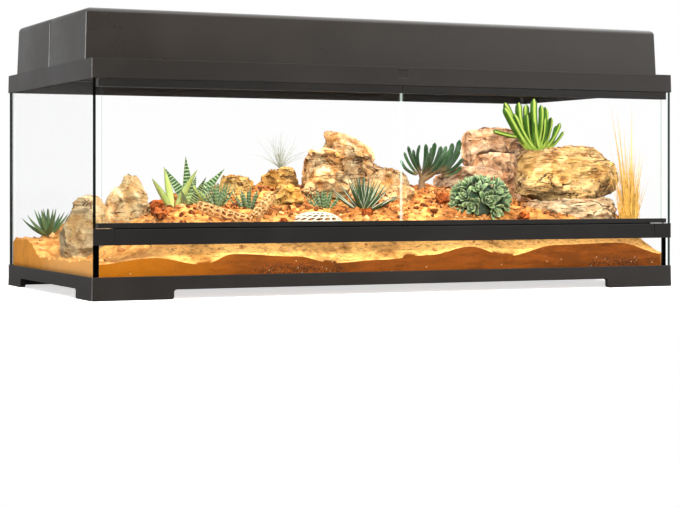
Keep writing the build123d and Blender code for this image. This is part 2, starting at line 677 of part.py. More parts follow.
def sand_bed(buried):
    """The sand: a faceted surface on a grid, with pockets for what it holds."""
    xs = [-INNER_X + 2 * INNER_X * i / SAND_COLUMNS for i in range(SAND_COLUMNS + 1)]
    front = FRONT_PANE_Y + GLASS + SEAT_GAP
    back = BACK_PANE_Y - SEAT_GAP
    ys = [front + (back - front) * j / SAND_ROWS for j in range(SAND_ROWS + 1)]
    low = FLOOR_TOP + SEAT_GAP
    top = {(i, j): (x, y, FLOOR_TOP + ground(x, y)) for i, x in enumerate(xs) for j, y in enumerate(ys)}
    faces = []
    for i in range(SAND_COLUMNS):
        for j in range(SAND_ROWS):
            a, b, c, d = top[i, j], top[i + 1, j], top[i + 1, j + 1], top[i, j + 1]
            faces.append(facet(a, b, c))
            faces.append(facet(a, c, d))
    corners = [(xs[0], front, low), (xs[-1], front, low), (xs[-1], back, low), (xs[0], back, low)]
    faces.append(facet(*corners))
    faces.append(facet(corners[0], corners[1], *[top[i, 0] for i in range(SAND_COLUMNS, -1, -1)]))
    faces.append(facet(corners[3], corners[2],
                       *[top[i, SAND_ROWS] for i in range(SAND_COLUMNS, -1, -1)]))
    faces.append(facet(corners[0], corners[3], *[top[0, j] for j in range(SAND_ROWS, -1, -1)]))
    faces.append(facet(corners[1], corners[2],
                       *[top[SAND_COLUMNS, j] for j in range(SAND_ROWS, -1, -1)]))
    sand = closed(faces)
    reach = BEAD + 2 * SEAT_GAP
    for y, toward in ((front - SEAT_GAP, 1), (back + SEAT_GAP, -1)):
        relief = make_face(Polyline((-PANE_INNER_X, y), (-PANE_INNER_X + reach, y),
                                    (-PANE_INNER_X, y + toward * reach), close=True))
        sand -= both_sides(Pos(0, 0, FLOOR_TOP) * extrude(relief, TANK_HEIGHT))
    for thing in buried:
        sand -= thing
    return sand


# ----------------------------------------------------------- landscape: stones
def stone(x, y, outline, thickness, waist=0.74):
    """A broken stone: one outline, facing the front left, drawn in to both faces."""
    middle = sum(u for u, _ in outline) / len(outline)
    height = sum(z for _, z in outline) / len(outline)
    sections = []
    for share, size in ((-0.5, waist), (-0.16, 1.0), (0.22, 0.96), (0.5, waist)):
        sections.append([((u - middle) * size + middle, share * thickness, (z - height) * size + height)
                         for u, z in outline])
    return Pos(*spot(x, y), FLOOR_TOP) * Rot(0, 0, FACING) * faceted(sections)


def pebble(x, y, size, turn):
    """A small stone half sunk in the sand: a cut block with its corners struck off."""
    length, width, height = size
    place = Pos(*spot(x, y), FLOOR_TOP + ground(*spot(x, y)) + height * 0.25) * Rot(0, 0, turn)
    rings = []
    for share, level in ((0.36, -0.4), (0.5, 0.05), (0.34, 0.42)):
        rings.append([(u * length, v * width, level * height) for u, v, _ in ring(share, 7)])
    return place * faceted(rings)


def jade_place(rock):
    """The pocket of soil on the layered rock that the finger jade grows from."""
    return Pos(*spot(*JADE_AT), rock.bounding_box().max.Z - 1)


def tuft_place(rock):
    """The hollow on a low rock that holds the air plant."""
    return Pos(*spot(*TUFT_AT), rock.bounding_box().max.Z)


def stones():
    """Every rock by name; a stone that leans on an earlier one is cut to meet it."""
    tower = stone(49, 30, [
        (-89, 70), (-89, 152), (-84, 182), (-57, 184), (-55, 214), (-47, 218), (-18, 211),
        (-1, 202), (16, 188), (27, 162), (53, 160), (72, 152), (84, 126), (86, 70)], 84)
    layered = stone(356, -72, [
        (-84, 122), (-80, 184), (-60, 189), (-2, 193), (40, 189), (62, 181), (77, 157),
        (81, 122), (60, 115), (56, 90), (-46, 90), (-52, 112)], 66)
    left = stone(-398, -18, [
        (-34, 28), (-36, 70), (-18, 105), (-8, 116), (1, 118), (20, 110), (36, 78), (38, 34)], 56)
    wedge = stone(-327, 5, [
        (-38, 110), (-11, 133), (8, 148), (17, 140), (38, 86), (34, 50), (-34, 50)], 44)
    ledge = stone(338, -112, [
        (-78, 104), (-40, 110), (5, 112), (72, 112), (74, 56), (-76, 56)], 56)
    crest = stone(324, 122, [
        (-44, 218), (-20, 222), (10, 231), (35, 226), (44, 205), (38, 150), (34, 96), (-38, 96),
        (-31, 152), (-44, 172)], 60)
    round_boulder = stone(245, 40, [
        (-58, 82), (-58, 140), (-37, 157), (-9, 163), (39, 164), (54, 147), (58, 82)], 64)
    low = [
        stone(-139, 44, [(-20, 90), (-18, 125), (-6, 135), (11, 138), (18, 134), (21, 90)], 34),
        stone(-70, 78, [(-33, 96), (-32, 131), (-23, 146), (-4, 154), (16, 159), (31, 156),
                        (33, 134), (30, 96)], 40),
        stone(-111, -58, [(-28, 78), (-22, 124), (-5, 130), (21, 128), (28, 110), (26, 78)], 34)]
    ledge -= layered
    round_boulder -= [layered, tower]
    low[1] -= tower
    wedge -= left
    layered -= jade_place(layered) * trunk(*JADE_STEM)
    low[1] -= tuft_place(low[1]) * tuft(TUFT_WIDTH)
    red = [pebble(-316, -106, (25, 20, 18), 10), pebble(-304, -52, (26, 20, 26), 40),
           pebble(-10, -128, (24, 18, 16), 15), pebble(158, -34, (34, 24, 26), 70),
           pebble(238, -144, (26, 20, 22), 30), pebble(-150, -150, (16, 13, 11), 55)]
    return {
        "tower_rock": tower, "layered_rock": layered, "left_boulder": left, "wedge_rock": wedge,
        "ledge_rock": ledge, "rear_rocks": Compound(children=[crest, round_boulder]),
        "low_rocks": Compound(children=low), "red_stones": Compound(children=red)}


# ----------------------------------------------------------- landscape: plants
def tapered(length, sides, widths, flat=1.0):
    """A closed spike along X: (share of length, width) pairs of one polygon."""
    sections = []
    for share, width in widths:
        sections.append([(length * share, y, z * flat) for y, z, _ in ring(width / 2, sides)])
    return faceted(sections)


def aimed(shape, rise, turn):
    """A spike along X, raised from the level and turned about the vertical."""
    return Rot(0, 0, turn) * Rot(0, -rise, 0) * shape


def leaf(length, width):
    """A stiff pointed leaf, widest a third of the way out."""
    return tapered(length, 4, [(0, width * 0.35), (0.35, width), (1, width * 0.12)], 0.45)


def root(radius=ROOT_RADIUS, depth=ROOT_DEPTH):
    """The root ball that stands in the sand."""
    return Pos(0, 0, -depth) * extrude(RegularPolygon(radius, 6), depth + 3)


def spread(count, radius, low, high, start=0.0):
    """Places on a crown, each a golden angle on, nearer the middle and steeper."""
    for k in range(count):
        share = k / (count - 1)
        turn = start + 137.5 * k
        out = radius * math.sqrt(1.02 - share)
        foot = Pos(out * math.cos(math.radians(turn)), out * math.sin(math.radians(turn)), 0)
        yield foot * Rot(0, 0, turn) * Rot(0, -low - (high - low) * share, 0), share


def rosette(leaves, radius, width, low, high, start=0.0):
    """Leaves round a root, each a golden angle on and steeper than the last."""
    parts = []
    for place, share in spread(leaves, ROOT_RADIUS * 0.85, low, high, start):
        spike = leaf(radius * (1 - 0.12 * share), width * (1 - 0.25 * share))
        parts.append(Pos(0, 0, 2) * place * spike)
    return root() + parts


def planted(shape, x, y, lift=0.0):
    """A plant set on the sand at a drawn place."""
    place = spot(x, y)
    return Pos(*place, FLOOR_TOP + ground(*place) + lift) * shape


def mound():
    """The body of the rosette cluster, which stands in the sand."""
    return stack(8, (-8, 36), (18, 34), (38, 15))


def echeveria_cluster():
    """A mound of small rosettes, spread over it by the golden angle."""
    heads = []
    count = 13
    for k in range(count):
        up = 80 - 62 * k / (count - 1)
        head = stack(12, (-12, 5), (2, 12.5), (9, 4), inset=0.72)
        reach = Pos(0, 0, 34 + 6 * math.cos(math.radians(up)))
        heads.append(Pos(0, 0, 8) * Rot(0, 0, 137.5 * k) * Rot(0, 90 - up, 0) * reach * head)
    return mound() + heads


def trunk(width, height):
    """The short stem of a finger bush."""
    return Pos(0, 0, -4) * extrude(RegularPolygon(width, 6), height + 4)


def finger_bush(fingers, length, width, height, low, high):
    """Blunt upright fingers from a short trunk."""
    parts = []
    for place, share in spread(fingers, width * 0.75, low, high, 40):
        spike = tapered(length * (0.78 + 0.22 * math.sin(2.3 + 9 * share)), 5,
                        [(0, width * 0.4), (0.4, width), (0.88, width), (1, width * 0.5)])
        parts.append(Pos(0, 0, height - 2) * place * spike)
    return trunk(width, height) + parts


def tuft(width):
    """The knot that a clump of blades grows from."""
    return Pos(0, 0, -3) * extrude(RegularPolygon(width * 2.6, 6), 6)


def strands(count, length, width, low, high):
    """Thin dry blades from one tuft."""
    parts = []
    for place, share in spread(count, width * 2, low, high):
        spike = tapered(length * (0.75 + 0.25 * math.cos(9 * share)), 3, [(0, width), (1, width * 0.35)])
        parts.append(place * spike)
    return tuft(width) + parts


def dry_grass():
    """A standing clump with a few tall stems."""
    stems = []
    for lean, turn, length in ((78, 215, 188), (85, 150, 176), (87, 330, 190), (81, 255, 150)):
        stems.append(aimed(tapered(length, 3, [(0, 2.2), (1, 0.9)]), lean, turn))
    return root() + strands(14, 96, 2.6, 81, 88) + stems


def wood_branch(start, end, radius, wall):
    """A hollow, slotted length of dead cactus wood between two points."""
    a, b = Vector(*start), Vector(*end)
    axis = Plane(origin=a, z_dir=b - a)
    length = (b - a).length
    branch = extrude(RegularPolygon(radius, 9), length) - Pos(0, 0, -1) * extrude(
        RegularPolygon(radius - wall, 9), length + 2)
    count = int(length / (1.6 * radius)) - 1
    for k in range(count):
        slot = Pos(0, 0, (k + 1) * length / (count + 1)) * Rot(0, 0, 83 * k) * Rot(35, 0, 0)
        branch -= slot * Pos(radius, 0, 0) * Box(2 * radius, 0.5 * radius, 0.9 * radius)
    return axis * branch


def cholla_wood():
    """Two lengths of the wood, the short one ending against the long one."""
    x1, y1 = spot(-262, -104)
    x2, y2 = spot(-196, -146)
    x3, y3 = spot(-146, -96)
    rest = FLOOR_TOP + 5
    long = wood_branch((x1, y1, rest + ground(x1, y1)), (x2, y2, rest + ground(x2, y2)), 8, 2.4)
    short = wood_branch((x3, y3, rest + ground(x3, y3)), (x2 + 17, y2 + 15, rest + ground(x2, y2)),
                        6.5, 2.2)
    return Compound(children=[long, short])


def perforated_dome():
    """A low ceramic dome with two rings of holes and one at its crown."""
    profile = ((0, 44), (12, 41), (21, 32), (26, 18), (28, 8))
    wall = 2.6
    outer = stack(14, *profile)
    inner = stack(14, *[(z - wall, r - 0.8 * wall) for z, r in profile])
    dome = outer - inner
    drill = extrude(RegularPolygon(3.6, 6), 60)
    holes = [drill]
    for count, up, start in ((11, 26, 0), (8, 58, 12)):
        for k in range(count):
            aim = Rot(0, 0, start + 360 * k / count) * Rot(0, 90 - up, 0)
            holes.append(aim * Pos(0, 0, 12) * drill)
    return dome - holes


def plants(rocks):
    """Every plant by name, each on its own root or stem."""
    jade = jade_place(rocks["layered_rock"]) * finger_bush(14, 66, *JADE_STEM, 30, 84)
    air_plant = tuft_place(rocks["low_rocks"]) * strands(13, 62, TUFT_WIDTH, 42, 84)
    forms = [
        rosette(13, 33, 8, 22, 80, 10), rosette(12, 66, 13, 34, 78, 35), rosette(9, 26, 6, 30, 76),
        rosette(11, 30, 5.5, 30, 74, 20), rosette(11, 36, 7, 32, 78, 50),
        rosette(13, 58, 10, 30, 80, 15), dry_grass()]
    rooted = [planted(form, *place) for form, place in zip(forms, ROOTED)]
    return {
        "left_haworthia": rooted[0], "striped_aloe": rooted[1],
        "small_haworthias": Compound(children=rooted[2:5]), "agave": rooted[5],
        "dry_grass": rooted[6],
        "echeveria_cluster": planted(echeveria_cluster(), *CLUSTER_AT),
        "finger_succulent": planted(finger_bush(11, 62, *BUSH_STEM, 34, 80), *BUSH_AT),
        "finger_jade": jade, "air_plant": air_plant}


def save_landscape():
    """Write the stones, plants, wood, dome and the sand that holds them."""
    rocks = stones()
    greens = plants(rocks)
    wood = cholla_wood()
    place = spot(-95, -138)
    dome = Pos(*place, FLOOR_TOP + ground(*place) - 14) * perforated_dome()
    buried = [*rocks.values(), dome, wood]
    for x, y, lift in ROOTED:
        buried.append(planted(root(), x, y, lift))
    buried.append(planted(mound(), *CLUSTER_AT))
    buried.append(planted(trunk(*BUSH_STEM), *BUSH_AT))
    sand = sand_bed(buried)
    for name, shape in {**rocks, **greens}.items():
        save(name, shape)
    save("cholla_wood", wood)
    save("perforated_dome", dome)
    save("sand_bed", sand)


# --------------------------------------------------------------- whole assembly
os.makedirs("parts", exist_ok=True)
save("base_frame", base_frame())
save("left_glass", side_pane(-1))
save("right_glass", side_pane(1))
save("back_glass", back_pane())
save("front_lower_glass", front_pane())
save("bottom_glass", floor_pane())
save("silicone_seams", silicone_seams())
save("top_frame", top_frame())
save("front_rail", front_rail())
save("screen_frame", screen_frame())
save("screen_mesh", screen_mesh())
save("lock_bar", lock_bar())
save("lock_bar_pins", lock_bar_pins())
left_pieces = {
    "end_cap": end_cap(), "inlet_gate": inlet_gate(), "door_glass": door_glass(),
    "door_top_profile": door_top_profile(), "door_bottom_profile": door_bottom_profile(),
    "door_pins": door_pins()}
for piece, left_shape in left_pieces.items():
    save(f"left_{piece}", left_shape)
    save(f"right_{piece}", mirror(left_shape, about=Plane.YZ))
front_hood_y = FRONT + HOOD_SETBACK + HOOD_DEPTH / 2
save_hood("front_hood", front_hood_y)
save_hood("rear_hood", front_hood_y + HOOD_DEPTH + HOOD_SPACING)
save_landscape()
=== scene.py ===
"""Looks of a low glass desert terrarium: housing, panes, lamp hoods and planted landscape.

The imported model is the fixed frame. Every piece is built in metres in that frame, with its place
in its mesh, and rides on the body that carries it.
"""
import logging
import math
import random
from collections.abc import Callable, Iterator, Sequence
from dataclasses import dataclass
from enum import Enum
from functools import cache

import bmesh
import bpy
from mathutils import Matrix, Vector, noise


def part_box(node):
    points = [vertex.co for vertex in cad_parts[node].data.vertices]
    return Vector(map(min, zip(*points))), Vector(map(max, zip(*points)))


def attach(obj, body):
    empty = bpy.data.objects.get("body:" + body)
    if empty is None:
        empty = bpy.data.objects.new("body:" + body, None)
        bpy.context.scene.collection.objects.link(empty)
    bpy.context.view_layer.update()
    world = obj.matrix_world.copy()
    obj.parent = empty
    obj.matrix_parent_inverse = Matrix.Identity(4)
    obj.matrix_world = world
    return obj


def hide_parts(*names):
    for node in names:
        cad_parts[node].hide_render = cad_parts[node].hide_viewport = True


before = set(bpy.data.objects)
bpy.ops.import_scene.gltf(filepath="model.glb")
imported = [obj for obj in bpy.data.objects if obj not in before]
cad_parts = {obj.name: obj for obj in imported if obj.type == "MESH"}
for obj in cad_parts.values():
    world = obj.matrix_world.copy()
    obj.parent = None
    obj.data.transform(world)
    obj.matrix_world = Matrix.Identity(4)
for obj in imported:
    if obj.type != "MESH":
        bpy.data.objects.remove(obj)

log = logging.getLogger("terrarium")
Colour = tuple[float, float, float]
Point = tuple[float, float, float]
Socket = bpy.types.NodeSocket
MILLIMETRE = 0.001
GOLDEN_ANGLE = math.radians(137.5)
WHITE: Colour = (1.0, 1.0, 1.0)
BLACK: Colour = (0.0, 0.0, 0.0)


class Axis(Enum):
    """An axis of the object, by its place in a vector."""

    X = 0
    Y = 1
    Z = 2


# ------------------------------------------------------------------ node trees
class Graph:
    """A node tree with short calls for adding and linking its nodes."""

    def __init__(self, tree: bpy.types.NodeTree) -> None:
        """Keeps the tree that the calls add to."""
        self.tree = tree

    def add(self, kind: str, values: dict | None = None, **settings: object) -> bpy.types.Node:
        """Adds a node and fills or links its inputs.

        Args:
            kind: The node's type name.
            values: Input names or numbers, each with a value or a socket to link.
            settings: Properties of the node itself.

        Returns:
            The new node.
        """
        node = self.tree.nodes.new(kind)
        for name, setting in settings.items():
            setattr(node, name, setting)
        for name, value in (values or {}).items():
            self.feed(node.inputs[name], value)
        return node

    def feed(self, target: Socket, value: object) -> None:
        """Links a socket to an input, or sets the input's own value."""
        if isinstance(value, bpy.types.NodeSocket):
            self.tree.links.new(value, target)
        elif target.type == "RGBA" and len(value) == 3:
            target.default_value = (*value, 1.0)
        else:
            target.default_value = value

    def math(self, operation: str, *values: object, clamp: bool = False) -> Socket:
        """Adds a Math node on the given values and returns its output."""
        node = self.add("ShaderNodeMath", dict(enumerate(values)), operation=operation)
        node.use_clamp = clamp
        return node.outputs[0]

    def vector_math(self, operation: str, *values: object) -> Socket:
        """Adds a Vector Math node and returns its vector output."""
        return self.add("ShaderNodeVectorMath", dict(enumerate(values)), operation=operation).outputs[0]

    def place(self) -> Socket:
        """The point in the object's own coordinates."""
        return self.add("ShaderNodeTexCoord").outputs["Object"]

    def facing(self, axis: Axis) -> Socket:
        """The part of the object-space normal along one axis, signed."""
        normal = self.add("ShaderNodeTexCoord").outputs["Normal"]
        return self.add("ShaderNodeSeparateXYZ", {0: normal}).outputs[axis.value]

    def along(self, axis: Axis) -> Socket:
        """One coordinate of the point, in metres."""
        return self.add("ShaderNodeSeparateXYZ", {0: self.place()}).outputs[axis.value]

    def scaled(self, x: float, y: float, z: float) -> Socket:
        """The point with each axis multiplied, which stretches a pattern."""
        return self.vector_math("MULTIPLY", self.place(), (x, y, z))

    def noise(self, scale: object, detail: float = 3.0, roughness: float = 0.5,
              vector: Socket | None = None, distortion: float = 0.0) -> Socket:
        """A noise value between 0 and 1 over the object's own coordinates."""
        values = {"Scale": scale, "Detail": detail, "Roughness": roughness,
                  "Distortion": distortion, "Vector": vector or self.place()}
        return self.add("ShaderNodeTexNoise", values).outputs[0]

    def cells(self, scale: object, feature: str = "F1", vector: Socket | None = None) -> bpy.types.Node:
        """A Voronoi node over the object's own coordinates."""
        values = {"Scale": scale, "Vector": vector or self.place()}
        return self.add("ShaderNodeTexVoronoi", values, feature=feature)

    def spread(self, value: object, low: object, high: object, start: float = 0.0, end: float = 1.0) -> Socket:
        """Maps low to high onto start to end, held at both ends."""
        values = {0: value, 1: low, 2: high, 3: start, 4: end}
        return self.add("ShaderNodeMapRange", values, interpolation_type="SMOOTHSTEP").outputs[0]

    def mix(self, share: object, first: object, second: object, blend: str = "MIX") -> Socket:
        """Mixes two colours by a share."""
        node = self.add("ShaderNodeMix", {0: share, 6: first, 7: second}, data_type="RGBA", blend_type=blend)
        return node.outputs[2]

    def own(self, name: str) -> Socket:
        """A number that the mesh holds for each of its corners or points."""
        return self.add("ShaderNodeAttribute", attribute_name=name).outputs["Fac"]

    def effect(self, group: bpy.types.NodeTree, **values: object) -> bpy.types.Node:
        """Places a shared effect with its own values."""
        node = self.add("ShaderNodeGroup", node_tree=group)
        for name, value in values.items():
            self.feed(node.inputs[name], value)
        return node

    def relief(self, height: object, depth: float, strength: float = 1.0, normal: Socket | None = None) -> Socket:
        """A normal bent by a height; depth is the height's full range in metres."""
        values = {"Height": height, "Distance": depth, "Strength": strength}
        if normal is not None:
            values["Normal"] = normal
        return self.add("ShaderNodeBump", values).outputs[0]


def effect_tree(name: str, inputs: dict[str, float], outputs: Sequence[str]) -> tuple[Graph, bpy.types.Node, bpy.types.Node]:
    """Starts a shared effect as a shader node group.

    Args:
        name: The group's name.
        inputs: Each input with its usual value.
        outputs: The names of the numbers that the effect gives.

    Returns:
        The group's graph, its input node and its output node.
    """
    tree = bpy.data.node_groups.new(name, "ShaderNodeTree")
    for label, value in inputs.items():
        tree.interface.new_socket(name=label, in_out="INPUT", socket_type="NodeSocketFloat").default_value = value
    for label in outputs:
        tree.interface.new_socket(name=label, in_out="OUTPUT", socket_type="NodeSocketFloat")
    graph = Graph(tree)
    return graph, graph.add("NodeGroupInput"), graph.add("NodeGroupOutput")


@cache
def grain() -> bpy.types.NodeTree:
    """Fine moulded grain with slow clouding: Scale in, Cloud and Height out."""
    graph, given, out = effect_tree("Fine grain", {"Scale": 900.0}, ("Cloud", "Height"))
    fine = graph.noise(given.outputs["Scale"], 2.0, 0.6)
    slow = graph.noise(9.0, 4.0, 0.55)
    graph.feed(out.inputs["Cloud"], graph.spread(slow, 0.3, 0.7))
    graph.feed(out.inputs["Height"], fine)
    return graph.tree


@cache
def dust() -> bpy.types.NodeTree:
    """Dust that settles on level surfaces: Reach and Scale in, Mask out."""
    graph, given, out = effect_tree("Settled dust", {"Reach": 0.5, "Scale": 60.0}, ("Mask",))
    level = graph.spread(graph.facing(Axis.Z), 0.6, 1.0)
    patch = graph.noise(given.outputs["Scale"], 5.0, 0.65)
    cover = graph.math("MULTIPLY", level, graph.spread(patch, 0.35, 0.75))
    graph.feed(out.inputs["Mask"], graph.math("MULTIPLY", cover, given.outputs["Reach"]))
    return graph.tree


@cache
def rub() -> bpy.types.NodeTree:
    """Rubbed and handled places: Scale and Reach in, Mask out."""
    graph, given, out = effect_tree("Handling rub", {"Scale": 18.0, "Reach": 0.5}, ("Mask",))
    patch = graph.noise(given.outputs["Scale"], 6.0, 0.7, distortion=0.4)
    cover = graph.spread(patch, 0.5, 0.72)
    graph.feed(out.inputs["Mask"], graph.math("MULTIPLY", cover, given.outputs["Reach"]))
    return graph.tree


@cache
def bedding() -> bpy.types.NodeTree:
    """Stone laid in beds: Layers to the metre and Warp in, Band, Height and dark Seam out."""
    graph, given, out = effect_tree("Bedding", {"Layers": 120.0, "Warp": 0.01}, ("Band", "Height", "Seam"))
    bend = graph.math("MULTIPLY", graph.math("SUBTRACT", graph.noise(14.0, 3.0), 0.5), given.outputs["Warp"])
    level = graph.math("MULTIPLY", graph.math("ADD", graph.along(Axis.Z), bend), given.outputs["Layers"])
    flat = graph.add("ShaderNodeCombineXYZ", {0: graph.math("MULTIPLY", graph.along(Axis.X), 9.0), 2: level})
    bands = graph.noise(1.0, 4.0, 0.6, flat.outputs[0])
    graph.feed(out.inputs["Band"], graph.spread(bands, 0.38, 0.62))
    graph.feed(out.inputs["Height"], bands)
    seam = graph.spread(graph.math("ABSOLUTE", graph.math("SUBTRACT", bands, 0.5)), 0.022, 0.0)
    graph.feed(out.inputs["Seam"], graph.math("MULTIPLY", seam, graph.spread(graph.noise(22.0, 4.0), 0.42, 0.6)))
    return graph.tree


@cache
def pores() -> bpy.types.NodeTree:
    """Scattered pits or specks: Scale, Reach and Cover in, Mask out."""
    graph, given, out = effect_tree("Pores", {"Scale": 300.0, "Reach": 0.3, "Cover": 0.5}, ("Mask",))
    shift = graph.add("ShaderNodeTexNoise", {"Scale": 160.0, "Vector": graph.place()}).outputs[1]
    push = graph.add("ShaderNodeVectorMath", {0: shift, "Scale": 0.003}, operation="SCALE").outputs[0]
    bent = graph.vector_math("ADD", graph.place(), push)
    cell = graph.cells(given.outputs["Scale"], vector=bent)
    pit = graph.spread(cell.outputs["Distance"], given.outputs["Reach"], 0.0)
    patch = graph.math("LESS_THAN", graph.noise(45.0, 3.0), given.outputs["Cover"])
    graph.feed(out.inputs["Mask"], graph.math("MULTIPLY", pit, patch))
    return graph.tree


@cache
def fractures() -> bpy.types.NodeTree:
    """Broken, wandering cracks, mostly level: Scale and Width in, Mask out."""
    graph, given, out = effect_tree("Fractures", {"Scale": 30.0, "Width": 0.02}, ("Mask",))
    run = graph.noise(given.outputs["Scale"], 4.0, 0.55, graph.scaled(1.0, 1.0, 1.9), distortion=0.5)
    near = graph.math("ABSOLUTE", graph.math("SUBTRACT", run, 0.5))
    broken = graph.spread(graph.noise(30.0, 3.0), 0.44, 0.58)
    graph.feed(out.inputs["Mask"], graph.math("MULTIPLY", graph.spread(near, given.outputs["Width"], 0.0), broken))
    return graph.tree


# -------------------------------------------------------------------- finishes
def surface(name: str, **constants: object) -> tuple[bpy.types.Material, Graph, bpy.types.Node]:
    """Starts a material with one Principled shader.

    Args:
        name: The material's name.
        constants: Socket names, with underscores for spaces, and their values.

    Returns:
        The material, its graph and the shader's node.
    """
    made = bpy.data.materials.new(name)
    made.use_nodes = True
    made.node_tree.nodes.clear()
    graph = Graph(made.node_tree)
    shader = graph.add("ShaderNodeBsdfPrincipled")
    for label, value in constants.items():
        graph.feed(shader.inputs[label.replace("_", " ")], value)
    graph.add("ShaderNodeOutputMaterial", {"Surface": shader.outputs[0]})
    return made, graph, shader


@dataclass(frozen=True)
class Plastic:
    """Moulded plastic with a fine grain, slow clouding, rubbed places and a little dust."""

    name: str
    colour: Colour
    worn: Colour
    roughness: float = 0.42
    grain_scale: float = 1100.0
    grain_depth: float = 0.00005
    dust_reach: float = 0.25
    edge_radius: float = 0.0011
    gloss: float = 0.5

    @cache
    def make(self) -> bpy.types.Material:
        """Builds the material once."""
        made, graph, shader = surface(self.name, Specular_IOR_Level=self.gloss)
        fine = graph.effect(grain(), Scale=self.grain_scale)
        handled = graph.effect(rub(), Reach=0.3)
        settled = graph.effect(dust(), Reach=0.2 * self.dust_reach)
        deep = tuple(0.82 * part for part in self.colour)
        colour = graph.mix(fine.outputs["Cloud"], deep, self.colour)
        colour = graph.mix(handled.outputs["Mask"], colour, self.worn)
        colour = graph.mix(settled.outputs["Mask"], colour, (0.32, 0.27, 0.21))
        graph.feed(shader.inputs["Base Color"], colour)
        shine = graph.spread(fine.outputs["Cloud"], 0.0, 1.0, self.roughness - 0.03, self.roughness + 0.05)
        shine = graph.math("SUBTRACT", shine, graph.math("MULTIPLY", handled.outputs["Mask"], 0.04))
        graph.feed(shader.inputs["Roughness"], shine)
        soft_edge = graph.add("ShaderNodeBevel", {"Radius": self.edge_radius}, samples=4).outputs[0]
        graph.feed(shader.inputs["Normal"], graph.relief(fine.outputs["Height"], self.grain_depth, 0.8, soft_edge))
        return made


@dataclass(frozen=True)
class Pane:
    """Float glass: nearly clear faces, dark or pale green where the light runs along the sheet.

    facing is the axis across the sheet; the polished edges are what faces another way.
    """

    name: str
    facing: Axis
    edge: Colour
    film: float = 0.22
    tint: Colour = (0.98, 0.99, 0.985)
    seam_from: float = 0.0
    painted_glow_within: float = 0.0

    @cache
    def make(self) -> bpy.types.Material:
        """Builds the material once."""
        made, graph, shader = surface(self.name, Transmission_Weight=1.0, IOR=1.0, Metallic=0.0,
                                      Coat_Weight=0.25, Coat_Roughness=0.02)
        flat = graph.math("ABSOLUTE", graph.facing(self.facing))
        edge = graph.spread(flat, 0.9, 0.5)
        if self.seam_from:
            edge = graph.math("MAXIMUM", edge, graph.math(
                "GREATER_THAN", graph.math("ABSOLUTE", graph.along(Axis.X)), self.seam_from))
        # Painted highlight: within this distance of the middle, where the two doors meet, the sheet glows in its edge
        # colour.
        if self.painted_glow_within:
            middle = graph.math("LESS_THAN", graph.math("ABSOLUTE", graph.along(Axis.X)), self.painted_glow_within)
            graph.feed(shader.inputs["Emission Color"], graph.mix(middle, BLACK, self.edge))
            shader.inputs["Emission Strength"].default_value = 0.62
        behind = graph.math("MULTIPLY", graph.math("GREATER_THAN", graph.along(Axis.X), 0.4),
                            graph.math("GREATER_THAN", graph.along(Axis.Y), 0.2))
        shade = graph.mix(behind, self.edge, (0.8, 0.86, 0.84))
        smear = graph.spread(graph.noise(7.0, 4.0, 0.6), 0.45, 0.75, 0.0, 0.05)
        graph.feed(shader.inputs["Base Color"], graph.mix(edge, self.tint, shade))
        graph.feed(shader.inputs["Roughness"], graph.math("MULTIPLY", edge, 0.25))
        film = graph.math("ADD", graph.spread(edge, 0.0, 1.0, self.film, 1.0), smear, clamp=True)
        graph.feed(shader.inputs["Alpha"], film)
        self._let_light_through(graph, shader)
        return made

    def _let_light_through(self, graph: Graph, shader: bpy.types.Node) -> None:
        """Lets lamp light and bounced light pass the thin sheet straight."""
        clear = graph.add("ShaderNodeBsdfTransparent").outputs[0]
        rays = graph.add("ShaderNodeLightPath")
        inner = graph.add("ShaderNodeMixShader", {0: rays.outputs["Is Diffuse Ray"], 1: shader.outputs[0], 2: clear})
        outer = graph.add("ShaderNodeMixShader", {0: rays.outputs["Is Shadow Ray"], 1: inner.outputs[0], 2: clear})
        out = next(node for node in graph.tree.nodes if node.type == "OUTPUT_MATERIAL")
        graph.feed(out.inputs["Surface"], outer.outputs[0])


@dataclass(frozen=True)
class Metal:
    """Rolled or drawn metal with brushing along one axis."""

    name: str
    colour: Colour
    roughness: float
    brushed: Axis = Axis.X

    @cache
    def make(self) -> bpy.types.Material:
        """Builds the material once."""
        made, graph, shader = surface(self.name, Metallic=1.0)
        stretch = [900.0, 900.0, 900.0]
        stretch[self.brushed.value] = 12.0
        lines = graph.noise(1.0, 3.0, 0.6, graph.scaled(*stretch))
        tarnish = graph.spread(graph.noise(30.0, 5.0), 0.4, 0.7)
        dull = tuple(0.72 * part for part in self.colour)
        graph.feed(shader.inputs["Base Color"], graph.mix(tarnish, self.colour, dull))
        graph.feed(shader.inputs["Roughness"], graph.spread(lines, 0.2, 0.8, self.roughness - 0.08, self.roughness + 0.1))
        graph.feed(shader.inputs["Normal"], graph.relief(lines, 0.00003))
        return made


@dataclass(frozen=True)
class Rubber:
    """Soft black or clear-set material: silicone beads, seals and grommets."""

    name: str
    colour: Colour
    roughness: float
    clear_from: float = 10.0

    @cache
    def make(self) -> bpy.types.Material:
        """Builds the material once."""
        made, graph, shader = surface(self.name)
        clear = graph.math("GREATER_THAN", graph.along(Axis.Y), self.clear_from)
        if self.clear_from < 1.0:
            graph.feed(shader.inputs["Alpha"], graph.math("SUBTRACT", 1.0, graph.math("MULTIPLY", clear, 0.93)))
        tooled = graph.noise(1.0, 3.0, 0.5, graph.scaled(160.0, 160.0, 30.0))
        fine = graph.effect(grain(), Scale=1600.0)
        pale = tuple(part * 1.6 + 0.004 for part in self.colour)
        dark = graph.mix(graph.spread(tooled, 0.4, 0.7), self.colour, pale)
        graph.feed(shader.inputs["Base Color"], graph.mix(clear, dark, (0.8, 0.82, 0.8)))
        graph.feed(shader.inputs["Roughness"], graph.spread(fine.outputs["Cloud"], 0.0, 1.0, self.roughness, self.roughness + 0.12))
        graph.feed(shader.inputs["Normal"], graph.relief(tooled, 0.0002))
        return made


